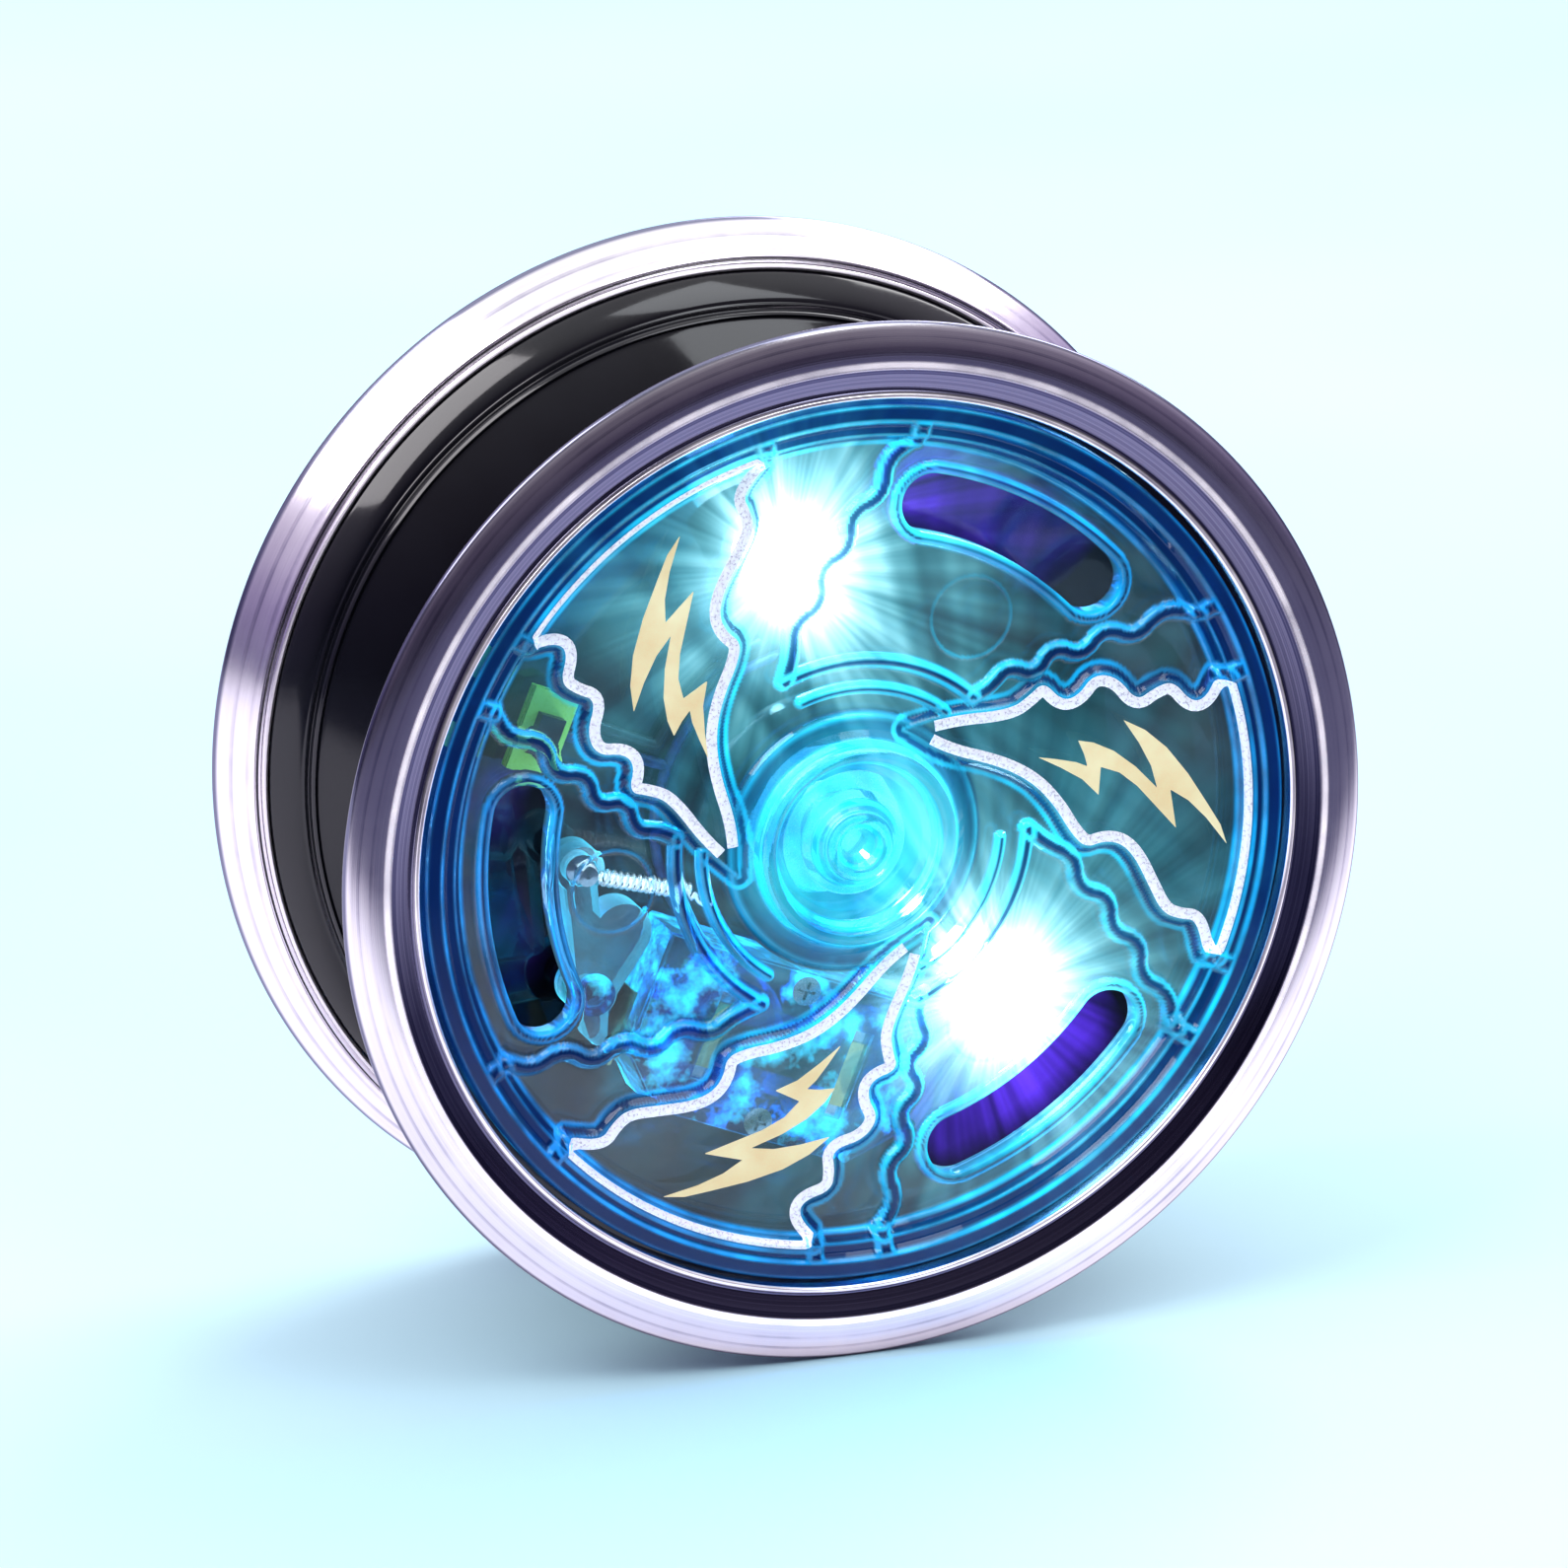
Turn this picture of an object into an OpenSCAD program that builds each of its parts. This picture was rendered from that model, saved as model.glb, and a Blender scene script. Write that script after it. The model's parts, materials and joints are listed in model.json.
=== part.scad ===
// Light-up yo-yo: two flared halves on a bearing axle, each with a metal rim,
// a clear swirl cap and a light module behind it.
// Every half is drawn with its axle on Z, z = 0 in the middle of the string gap
// and z growing outwards, then turned so that the axle lies along Y.

/* [Overall] */
// Diameter over the metal rims
outer_d = 57; // [56:0.5:58]
// Width over the two rim faces
outer_w = 24.4; // [24.2:0.1:25]
// Width of the string gap between the two hub faces
string_gap = 4.4; // [4.2:0.1:4.6]

/* [Cap] */
// Depth of the cap plate below the rim face
cap_recess = 1.8; // [1.6:0.1:2]
// Thickness of the cap plate
cap_t = 1; // [0.8:0.1:1]
// Height of the raised swirl blades
blade_h = 0.45; // [0.2:0.05:0.6]
// Width of the curved slots
slot_w = 3.3; // [2.6:0.1:3.5]
// Radius of the middle line of the curved slots
slot_r = 18.6; // [18.3:0.1:18.8]

/* [Bearing] */
// Outer diameter of the ball bearing
bearing_od = 12.7; // [12.5:0.1:12.7]
// Width of the ball bearing
bearing_w = 4.76; // [4.6:0.02:4.76]
// Number of balls
ball_count = 8; // [6:1:10]

/* [Light module] */
// Diameter of a button cell
cell_d = 7.8; // [7:0.1:7.9]
// Height of a button cell
cell_h = 3.6; // [3:0.1:3.6]
// Diameter of a lamp
lamp_d = 3; // [2.4:0.1:3]

/* [Switch] */
// How far the arm has swung out from rest, in degrees
arm_turn = 0; // [0:1:12]
// Outer diameter of the arm spring
spring_d = 1; // [0.8:0.1:1]

/* [Hidden] */
$fn = 96;
eps = 0.01;

// Rim and dish, along the radius and outwards from the middle of the gap
outer_r = outer_d / 2;
face_z = outer_w / 2;
gap_z = string_gap / 2;
ridge_r = outer_r - 2.2;          // outer bright ridge on the rim face
ridge_land = 0.2;                 // half the width of that ridge's flat top
hollow_deep = 0.5;                // depth of the hollow band inside the outer ridge
edge_z = face_z - 0.75;           // plane of the largest circle
ring_bore_r = outer_r - 4.1;      // opening that the cap sits in
socket_r = outer_r - 2.3;         // recess that the dish rim is pressed into
socket_z = face_z - 1.8;          // shoulder of that recess
ring_back_z = face_z - 3.5;       // where the ring ends on the gap side
dish_r = socket_r - 0.04;         // outside of the dish rim
cup_r = outer_r - 4.45;           // where the cup ends and the stepped band starts
cup_start_r = 10.2;               // where the cup leaves the flat hub face
cup_end_z = face_z - 5.5;
cup_power = 2.2;                  // how late the cup flares
wall_t = 1.1;
floor_z = 4.2;                    // flat part of the inside floor
blind_z = floor_z - 0.55;         // bottom of the blind holes in the floor
ledge_z = face_z - 3.8;           // shelf that the cap skirt stands on
ledge_r = 22.4;
cup_steps = 22;

// Cap
cap_r = ring_bore_r - 0.35;
cap_seat_r = cap_r + 0.06;
plate_z = face_z - cap_recess;
plate_in_z = plate_z - cap_t;
plate_r = 21.7;
cap_top_z = face_z - 0.5;
sector_turn = [-4, 122, 241];     // the three swirl sectors, nearly a third of a turn apart
slot_mid_a = 64;                  // middle of a slot within its sector
slot_half_a = 16.4;
rib_a = [33, 85];                 // where the two ribs of a slot field reach the wall
rib_w = 0.85;
blade_a = [-19, 23];              // where the two edges of a blade reach the wall
hub_skirt_r = 7.2;

// Axle parts
axle_r = 1.95;
axle_half = 7.4;
nut_af = 7;
nut_h = 3.2;
nut_z = 4.4;
boss_r = 6.1;
spacer_r = 3.15;
spacer_flange_r = 4.2;
spacer_floor_z = 3.2;
pad_r = [7.5, 9.7];
pad_t = 1;
running = 0.05;

// Bearing, made to the common quarter-inch bore size
bearing_r = bearing_od / 2;
bearing_bore_r = 3.175;
ball_r = 0.78;
ball_path_r = (bearing_r + bearing_bore_r) / 2;
race_r = ball_r + 0.02;
inner_land_r = 4.3;
outer_land_r = 5.25;

// Light module: centre, direction of its long side and levels
module_pos = [-3.6, -11.9];
module_turn = -22;
module_size = [16.8, 9.4];
module_z = 4.6;
module_floor = 0.5;
cell_z = module_z + module_floor;
cell_pitch = 8;
bridge_t = 0.2;
cover_t = 0.35;
case_top_z = cell_z + cell_h + bridge_t;
module_corner = 2.6;
screw_r = 0.45;
screw_y = 3.75;
contact_size = [0.2, 4.2];        // thickness and length of the contact blade
contact_from = -3.4;              // where it starts along the case's end

// Lamps, wires and driver board, by angle and radius
upper_lamp = [103, 15.6];
lower_lamp = [312, 12.7];
lamp_z = 5;
lamp_r = lamp_d / 2 - 0.05;
lamp_leg = 0.64;                  // half the distance between a lamp's legs
wire_r = 0.35;
wire_z = floor_z + wire_r + 0.03;
positive_path_r = 9.1;
negative_path_r = 10.2;
board_pos = [158, 17];
board_z = 5.3;
board_size = [2.6, 4.6, 0.8];
chip_size = [1.4, 2.2, 0.7];
board_wire_r = 15.65;             // where the wires end under the board's edge

// Switch: arm pivot, arm tip (where the spring pulls), the paddle beside it, the lobe
// that closes the contact, and the post by the hub
pivot = [-13.6, -7.8];
arm_tip = [-14.2, -0.9];
paddle = [-11.9, -4.6];
contact_lobe = [-13.3, -10.2];
spring_post = [-7.45, -2.75];
pin_r = 0.7;
arm_z = 5.6;
arm_t = 2;
weight_r = 0.85;
peg_r = 0.35;
spring_z = arm_z + arm_t + 0.1 + spring_d / 2;
spring_wire = 0.24;

// ---------------------------------------------------------------- helpers

// A half drawn along Z, laid down with its outside facing -Y
module front() {
    rotate([90, 0, 0])
        children();
}

// The same half turned about the vertical, so that its outside faces +Y
module rear() {
    rotate([0, 0, 180])
        rotate([90, 0, 0])
            children();
}

function polar(a, r) = [r * cos(a), r * sin(a)];
function mix(a, b, t) = a + (b - a) * t;
function arc_points(centre, r, a0, a1, n) =
    [for (i = [0 : n]) centre + polar(mix(a0, a1, i / n), r)];
function bezier(a, b, c, t) = mix(mix(a, b, t), mix(b, c, t), t);
function unit(v) = v / norm(v);
function left_of(v) = [-v[1], v[0]];
function turned(v, a) = cos(a) * v + sin(a) * left_of(v);

// Points along a curve from a to c, bent towards b, that jump from side to side
// after the fraction "calm" of the way
function zigzag(a, b, c, n, swing, calm) =
    [for (i = [0 : n])
        let (t = i / n, along = unit(bezier(a, b, c, t + eps) - bezier(a, b, c, t)))
        bezier(a, b, c, t)
            + left_of(along) * (t > calm && i < n ? swing * (i % 2 == 0 ? 1 : -1) : 0)];

// A line of even width through a list of points
function line_normal(p, i) =
    let (
        before = unit(p[i] - p[max(i - 1, 0)] + (i == 0 ? p[1] - p[0] : [0, 0])),
        after = i == len(p) - 1 ? before : unit(p[i + 1] - p[i]),
        middle = unit(before + after)
    )
    left_of(middle) / max(0.6, middle * before);

module line(p, w) {
    side = [for (i = [0 : len(p) - 1]) line_normal(p, i) * w / 2];
    polygon(concat(
        [for (i = [0 : len(p) - 1]) p[i] + side[i]],
        [for (i = [len(p) - 1 : -1 : 0]) p[i] - side[i]]
    ));
}

module ring(r_out, r_in, z0, z1) {
    translate([0, 0, z0])
        difference() {
            cylinder(r = r_out, h = z1 - z0);
            translate([0, 0, -eps])
                cylinder(r = r_in, h = z1 - z0 + 2 * eps);
        }
}

module post(p, r, z0, z1) {
    translate([p[0], p[1], z0])
        cylinder(r = r, h = z1 - z0, $fn = 48);
}

module on_module() {
    translate([module_pos[0], module_pos[1], 0])
        rotate([0, 0, module_turn])
            children();
}

// ---------------------------------------------------------------- dish

function cup_z(r) =
    gap_z + (cup_end_z - gap_z) * pow(max(0, r - cup_start_r) / (cup_r - cup_start_r), cup_power);
function cup_radius(i) = mix(cup_start_r, cup_r, i / cup_steps);
function inside_z(r) = max(floor_z, cup_z(r) + wall_t);

module dish_profile() {
    polygon(concat(
        // bearing recess and response pad groove
        [[axle_r + 0.25, spacer_floor_z], [spacer_flange_r + 0.2, spacer_floor_z],
         [spacer_flange_r + 0.2, gap_z + 0.45], [bearing_r + 0.4, gap_z + 0.45],
         [bearing_r + 0.4, gap_z + 0.1], [bearing_r + 0.5, gap_z], [pad_r[0], gap_z],
         [pad_r[0], gap_z + pad_t], [pad_r[1], gap_z + pad_t], [pad_r[1], gap_z]],
        [for (i = [0 : cup_steps]) [cup_radius(i), cup_z(cup_radius(i))]],
        // stepped band between the cup and the metal rim
        [[cup_r + 0.18, cup_end_z - 0.08], [cup_r + 0.32, cup_end_z + 0.1],
         [cup_r + 0.36, cup_end_z + 0.5], [cup_r + 0.62, cup_end_z + 0.52]],
        [for (i = [0 : 5]) [mix(cup_r + 0.7, dish_r - 0.05, i / 5),
                            mix(cup_end_z + 0.62, ring_back_z - 0.15, pow(i / 5, 1.4))]],
        [[dish_r, ring_back_z - 0.05], [dish_r, socket_z - 0.04], [cap_seat_r, socket_z - 0.04],
         [cap_seat_r, ledge_z], [ledge_r, ledge_z]],
        [for (i = [0 : 14]) let (r = mix(ledge_r, boss_r + 0.4, i / 14)) [r, inside_z(r)]],
        [[boss_r, floor_z + 0.4], [boss_r, nut_z + nut_h], [axle_r + 0.25, nut_z + nut_h]]
    ));
}

module dish() {
    color("black")
    difference() {
        union() {
            rotate_extrude($fn = 180)
                dish_profile();
            // posts for the arm pin and the spring, seats for the module screws
            post(pivot, 1.5, floor_z - eps, arm_z - 0.1);
            post(spring_post, peg_r, floor_z - eps, spring_z + spring_d / 2);
            on_module()
                for (s = [-1, 1])
                    post([0, s * screw_y], 0.9, floor_z - eps, module_z);
            // collars that hold the lamps
            for (place = [upper_lamp, lower_lamp])
                rotate([0, 0, place[0]])
                    translate([place[1], 0, 0])
                        lamp_collar();
            board_seats();
        }
        translate([0, 0, nut_z])
            cylinder(r = (nut_af + 0.1) / sqrt(3), h = nut_h + 1, $fn = 6);
        post(pivot, pin_r + 0.02, blind_z, arm_z + 1);
        on_module()
            for (s = [-1, 1])
                post([0, s * screw_y], screw_r + 0.02, blind_z, module_z + 1);
    }
}

// Collar open towards the hub, where the two wires leave
module lamp_collar() {
    difference() {
        ring(2.4, lamp_r + 0.25, floor_z - eps, lamp_z + 0.9);
        translate([-3, -1.15, floor_z - 0.1])
            cube([3, 2.3, 3]);
    }
}

module board_seats() {
    rotate([0, 0, board_pos[0]])
        for (s = [-1, 1])
            translate([board_pos[1] - 1.2, s * 1.8 - 0.4, floor_z - eps])
                cube([2.2, 0.8, board_z - floor_z]);
}

// ---------------------------------------------------------------- metal rim

module rim_profile() {
    crown = 5;
    polygon(concat(
        [[ring_bore_r, socket_z], [socket_r, socket_z], [socket_r, ring_back_z],
         [socket_r + 0.15, ring_back_z - 0.12], [socket_r + 0.3, ring_back_z - 0.02],
         [socket_r + 0.42, ring_back_z + 0.3], [socket_r + 0.62, ring_back_z + 0.3],
         [socket_r + 0.7, ring_back_z + 0.22]],
        // gap side of the rim, slightly hollow, up to the rounded outer edge
        [for (i = [0 : 6]) [mix(socket_r + 0.78, outer_r - 0.12, i / 6),
                            mix(ring_back_z + 0.3, edge_z - 0.3, pow(i / 6, 0.92))]],
        arc_points([outer_r - 0.25, edge_z], 0.25, -35, 60, 6),
        // crowned outer face up to the outer ridge
        [for (i = [1 : crown]) [mix(outer_r - 0.22, ridge_r + ridge_land, i / crown),
                                mix(edge_z + 0.28, face_z, sin(90 * i / crown))]],
        // hollow band that slopes in from the outer ridge to the foot of a small inner ridge
        [for (i = [0 : crown]) let (t = i / crown)
            [mix(ridge_r - ridge_land, ring_bore_r + 0.5, t),
             face_z - hollow_deep * (0.85 * t + 0.15 * sin(90 * t))]],
        [[ring_bore_r + 0.4, face_z - hollow_deep + 0.04], [ring_bore_r + 0.28, face_z - 0.22],
         [ring_bore_r + 0.12, face_z - 0.2], [ring_bore_r, face_z - 0.32]]
    ));
}

module rim_ring() {
    color("silver")
        rotate_extrude($fn = 240)
            rim_profile();
}

// ---------------------------------------------------------------- cap

// Raised swirl blade of one sector, from the hub out to the cap wall
blade_tip = [2.4, 6.1];
function blade_upper() = zigzag(blade_tip, [8.6, 7.9], polar(blade_a[1], plate_r), 11, 0.55, 0.38);
function blade_lower() = zigzag(blade_tip, [11, 4.6], polar(blade_a[0], plate_r), 12, 0.6, 0.36);

module blade_outline() {
    upper = blade_upper();
    lower = blade_lower();
    polygon(concat(
        lower,
        arc_points([0, 0], plate_r + 0.25, blade_a[0] + 0.5, blade_a[1] - 0.5, 10),
        [for (i = [len(upper) - 1 : -1 : 1]) upper[i]]
    ));
}

// Zigzag ribs at both sides of the slot field, joined by arcs along the hub
module field_ribs() {
    line(zigzag(polar(51, 9.9), [10.5, 10.2], polar(rib_a[0], plate_r + 0.3), 9, 0.6, 0.15), rib_w);
    line(zigzag(polar(117, 9.9), polar(101, 16), polar(rib_a[1], plate_r + 0.3), 9, 0.55, 0.15), rib_w);
    line(arc_points([0, 0], 9.9, 51, 117, 14), 0.6);
    line(arc_points([0, 0], 8.4, 56, 114, 12), 0.45);
}

module slot_outline(w) {
    ends = slot_half_a;
    line(arc_points([0, 0], slot_r, slot_mid_a - ends, slot_mid_a + ends, 16), w);
    for (s = [-1, 1])
        translate(polar(slot_mid_a + s * ends, slot_r))
            circle(d = w, $fn = 40);
}

// Stepped wall between the cap plate and the rim, with the skirt below it
module cap_wall_profile() {
    polygon([
        [plate_r - 0.4, plate_in_z], [plate_r - 0.4, plate_z], [plate_r, plate_z],
        [plate_r + 0.35, plate_z + 0.45], [plate_r + 0.55, plate_z + 0.8],
        [plate_r + 1.05, plate_z + 0.85], [plate_r + 1.35, cap_top_z - 0.12],
        [plate_r + 1.5, cap_top_z], [cap_r - 0.12, cap_top_z], [cap_r, cap_top_z - 0.12],
        [cap_r, ledge_z], [cap_r - 1.2, ledge_z], [cap_r - 1.2, plate_in_z - 0.3],
        [cap_r - 1.6, plate_in_z]
    ]);
}

// Hub: a rounded wall round a dished floor with a hollow boss in the middle
module cap_hub_profile() {
    top = cap_top_z + 0.2;
    polygon(concat(
        [[0, plate_in_z], [0, plate_z + 0.4], [0.65, plate_z + 0.42], [0.95, plate_z + 1.05]],
        arc_points([1.55, top - 0.45], 0.45, 150, 20, 6),
        [[2.25, top - 0.6], [2.45, plate_z + 0.5], [2.9, plate_z + 0.25], [3.9, plate_z + 0.25],
         [4.35, plate_z + 0.5], [4.55, top - 0.35]],
        arc_points([5.05, top - 0.4], 0.45, 165, 10, 7),
        [[5.75, plate_z + 0.75], [6.2, plate_z + 0.45], [6.9, plate_z + 0.35],
         [hub_skirt_r, plate_z], [hub_skirt_r, plate_in_z]]
    ));
}

module cap() {
    color("deepskyblue", 0.5)
    difference() {
        union() {
            translate([0, 0, plate_in_z])
                cylinder(r = plate_r - 0.2, h = cap_t, $fn = 180);
            rotate_extrude($fn = 180)
                cap_wall_profile();
            rotate_extrude($fn = 120)
                cap_hub_profile();
            ring(hub_skirt_r - 0.1, boss_r + 0.25, plate_in_z - 1, plate_in_z + eps);
            for (a = sector_turn)
                rotate([0, 0, a])
                    sector();
        }
        for (a = sector_turn)
            rotate([0, 0, a])
                translate([0, 0, plate_in_z - 1])
                    linear_extrude(cap_t + 3)
                        slot_outline(slot_w);
    }
}

module sector() {
    translate([0, 0, plate_z - eps]) {
        linear_extrude(blade_h + eps)
            blade_outline();
        linear_extrude(0.5)
            field_ribs();
        linear_extrude(0.3)
            slot_outline(slot_w + 0.8);
        mould_mark(polar(slot_mid_a, 13.4));
    }
    for (a = concat(rib_a, blade_a))
        wall_bar(a);
    // the wall is thicker behind a blade
    rotate_extrude(angle = blade_a[1] - blade_a[0] - 1, start = blade_a[0] + 0.5, $fn = 180)
        polygon([[plate_r - 0.3, plate_z], [plate_r + 0.5, cap_top_z - 0.2],
                 [plate_r + 1.6, cap_top_z - 0.2], [plate_r + 1.6, plate_z]]);
}

// Rounded bar that carries a rib or a blade's corner up the wall
module wall_bar(a) {
    rotate([0, 0, a])
        translate([plate_r - 0.1, 0, plate_z - 0.05])
            rotate([0, 50, 0])
                cylinder(r = 0.4, h = 2, $fn = 32);
}

// Fine circle left on the plate by an ejector
module mould_mark(p) {
    translate([p[0], p[1], 0])
        ring(2.3, 2.18, 0, 0.09);
}

// ---------------------------------------------------------------- hub parts

module response_pad() {
    color("dimgray")
        ring(pad_r[1] - 0.04, pad_r[0] + 0.04, gap_z - 0.05, gap_z + pad_t);
}

module axle_spacer() {
    color("goldenrod")
    difference() {
        union() {
            post([0, 0], spacer_r, 0.05, bearing_w / 2 + 0.02);
            post([0, 0], spacer_flange_r, bearing_w / 2 + 0.02, spacer_floor_z);
        }
        post([0, 0], axle_r + running, -1, spacer_floor_z + 1);
    }
}

module axle_nut() {
    color("silver")
    difference() {
        intersection() {
            translate([0, 0, nut_z])
                cylinder(r = nut_af / sqrt(3), h = nut_h, $fn = 6);
            translate([0, 0, nut_z])
                rotate_extrude($fn = 60)
                    polygon([[0, 0], [nut_af / 2 + 0.1, 0], [nut_af / sqrt(3), 0.3],
                             [nut_af / sqrt(3), nut_h - 0.3], [nut_af / 2 + 0.1, nut_h],
                             [0, nut_h]]);
        }
        post([0, 0], axle_r + running, nut_z - 1, nut_z + nut_h + 1);
    }
}

module axle() {
    thread_pitch = 0.7;
    groove = 0.18;
    turns = floor((axle_half - 3.6) / thread_pitch);
    function flank(side) = [for (i = [0 : turns]) for (k = [0, 1])
        [axle_r - groove * k, side * (axle_half - 0.3 - thread_pitch * (i + k / 2))]];
    outer_flank = flank(1);
    color("lightsteelblue")
        rotate_extrude($fn = 60)
            polygon(concat(
                [[0, -axle_half], [axle_r - 0.3, -axle_half]],
                flank(-1),
                [for (i = [len(outer_flank) - 1 : -1 : 0]) outer_flank[i]],
                [[axle_r - 0.3, axle_half], [0, axle_half]]
            ));
}

// ---------------------------------------------------------------- bearing

module race_cut() {
    rotate_extrude($fn = 120)
        translate([ball_path_r, 0])
            circle(r = race_r, $fn = 40);
}

module bearing_inner_ring() {
    color("silver")
    difference() {
        ring(inner_land_r, bearing_bore_r, -bearing_w / 2, bearing_w / 2);
        race_cut();
    }
}

module bearing_outer_ring() {
    shield_seat = bearing_w / 2 - 0.45;
    color("silver")
    difference() {
        rotate_extrude($fn = 120)
            polygon([
                [outer_land_r, -shield_seat], [outer_land_r + 0.35, -shield_seat],
                [outer_land_r + 0.35, -bearing_w / 2], [bearing_r - 0.15, -bearing_w / 2],
                [bearing_r, -bearing_w / 2 + 0.15], [bearing_r, bearing_w / 2 - 0.15],
                [bearing_r - 0.15, bearing_w / 2], [outer_land_r + 0.35, bearing_w / 2],
                [outer_land_r + 0.35, shield_seat], [outer_land_r, shield_seat]
            ]);
        race_cut();
    }
}

module bearing_shields() {
    color("gray")
        for (s = [0, 1])
            mirror([0, 0, s])
                ring(outer_land_r + 0.33, inner_land_r + 0.15,
                     bearing_w / 2 - 0.44, bearing_w / 2 - 0.24);
}

module bearing_balls() {
    color("silver")
        for (i = [0 : ball_count - 1])
            rotate([0, 0, i * 360 / ball_count])
                translate([ball_path_r, 0, 0])
                    sphere(r = ball_r, $fn = 40);
}

module bearing_cage() {
    color("goldenrod")
    difference() {
        ring(ball_path_r + 0.33, ball_path_r - 0.31, -0.2, 1.25);
        for (i = [0 : ball_count - 1])
            rotate([0, 0, i * 360 / ball_count])
                translate([ball_path_r, 0, 0]) {
                    sphere(r = ball_r + 0.05, $fn = 40);
                    translate([0, 0, -1])
                        cylinder(r = ball_r - 0.08, h = 1, $fn = 40);
                }
    }
}

// ---------------------------------------------------------------- light module

// Oblong with its two outer corners cut off to clear the rising floor
module module_outline(inset) {
    x = module_size[0] / 2 - inset;
    y = module_size[1] / 2 - inset;
    c = module_corner - inset / 2;
    polygon([[-x, y], [x, y], [x, c - y], [x - c, -y], [c - x, -y], [-x, c - y]]);
}

module cell_places() {
    for (s = [-1, 1])
        translate([s * cell_pitch / 2, 0, 0])
            children();
}

module module_case() {
    color("royalblue", 0.6)
    on_module()
        difference() {
            translate([0, 0, module_z])
                linear_extrude(case_top_z - module_z)
                    module_outline(0);
            cell_places()
                post([0, 0], cell_d / 2 + 0.05, cell_z, case_top_z + 1);
            translate([-cell_pitch / 2, -2.2, case_top_z - bridge_t])
                cube([cell_pitch, 4.4, 1]);
            for (s = [-1, 1])
                post([0, s * screw_y], screw_r + 0.02, module_z - 1, case_top_z + 1);
        }
}

module module_cover() {
    color("deepskyblue", 0.6)
    on_module()
        difference() {
            translate([0, 0, case_top_z])
                linear_extrude(cover_t)
                    module_outline(0.1);
            for (s = [-1, 1])
                translate([0, s * screw_y, case_top_z])
                    rotate_extrude($fn = 48)
                        polygon([[0, -1], [screw_r + 0.04, -1], [screw_r + 0.04, 0.02],
                                 [0.85, cover_t], [0.85, 2], [0, 2]]);
            cell_places()
                translate([0, 0, case_top_z - 1])
                    linear_extrude(3)
                        square([1.1, 5], center = true);
        }
}

module module_screws() {
    color("silver")
    on_module()
        for (s = [-1, 1])
            translate([0, s * screw_y, 0])
                difference() {
                    rotate_extrude($fn = 48)
                        polygon([[0, blind_z + 0.05], [screw_r - 0.2, blind_z + 0.05],
                                 [screw_r, blind_z + 0.35], [screw_r, case_top_z + 0.02],
                                 [0.8, case_top_z + cover_t], [0, case_top_z + cover_t]]);
                    for (a = [0, 90])
                        rotate([0, 0, a])
                            translate([-0.5, -0.09, case_top_z + 0.15])
                                cube([1, 0.18, 1]);
                }
}

module button_cells() {
    r = cell_d / 2;
    color("silver")
    on_module()
        cell_places()
            translate([0, 0, cell_z])
                rotate_extrude($fn = 90)
                    polygon([[0, 0], [r - 0.35, 0], [r - 0.05, 0.12], [r, 0.3],
                             [r, cell_h - 0.55], [r - 0.25, cell_h - 0.4], [r - 0.6, cell_h - 0.32],
                             [r - 0.65, cell_h - 0.3], [r - 0.8, cell_h], [0, cell_h]]);
}

module cell_bridge() {
    color("gold")
    on_module()
        translate([0, 0, cell_z + cell_h])
            linear_extrude(bridge_t) {
                square([cell_pitch - 0.6, 2], center = true);
                cell_places()
                    square([1.6, 3.6], center = true);
            }
}

module contact_blade() {
    color("gold")
    on_module()
        translate([-module_size[0] / 2 - contact_size[0], contact_from, arm_z])
            cube([contact_size[0], contact_size[1], arm_t]);
}

// ---------------------------------------------------------------- lamps and wires

module lamp(place) {
    p = polar(place[0], place[1]);
    top = lamp_z + 0.6 + 1.85;
    color("white", 0.8)
    translate([p[0], p[1], 0]) {
        rotate_extrude($fn = 60)
            polygon(concat(
                [[0, lamp_z], [lamp_r + 0.2, lamp_z], [lamp_r + 0.2, lamp_z + 0.6],
                 [lamp_r, lamp_z + 0.6]],
                arc_points([0, top], lamp_r, 0, 90, 8)
            ));
        rotate([0, 0, place[0]])
            for (s = [-1, 1])
                translate([-0.2, s * lamp_leg - 0.2, wire_z + wire_r])
                    cube([0.4, 0.4, lamp_z - wire_z - wire_r + eps]);
    }
}

// Angles at which the inner side of the module meets a circle round the axle
module_side_a = 360 + module_turn - 90;
module_side_r = -(module_pos * polar(module_turn + 90, 1)) - module_size[1] / 2;
function module_a(path_r, side) =
    module_side_a + side * acos((module_side_r - wire_r - 0.1) / path_r);

// Route of a wire that runs in from one leg of a lamp and then round the hub
function wire_route(place, side, path_r, stop_a) =
    let (leg_a = asin(side * lamp_leg / path_r))
    concat(
        [polar(place[0], place[1]) + polar(place[0] + 90, side * lamp_leg)],
        arc_points([0, 0], path_r, place[0] + leg_a, stop_a, 24)
    );

module wire(route) {
    translate([0, 0, wire_z - wire_r])
        linear_extrude(2 * wire_r)
            line(route, 2 * wire_r);
}

module positive_wires() {
    r = positive_path_r;
    color("navy") {
        wire(wire_route(upper_lamp, -1, r, module_a(r, -1)));
        wire(wire_route(lower_lamp, 1, r, module_a(r, 1)));
        // branch to the driver board
        wire([polar(board_pos[0], r), polar(board_pos[0], board_wire_r)]);
    }
}

// The upper negative wire ends at the driver board
module negative_wires() {
    r = negative_path_r;
    board_a = board_pos[0] - 5;
    color("dimgray") {
        wire(concat(
            wire_route(upper_lamp, 1, r, board_a),
            [polar(board_a + 1, board_wire_r)]
        ));
        wire(wire_route(lower_lamp, -1, r, module_a(r, 1)));
    }
}

module driver_board() {
    color("limegreen")
        rotate([0, 0, board_pos[0]])
            translate([board_pos[1], 0, board_z + board_size[2] / 2])
                cube(board_size, center = true);
}

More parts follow.
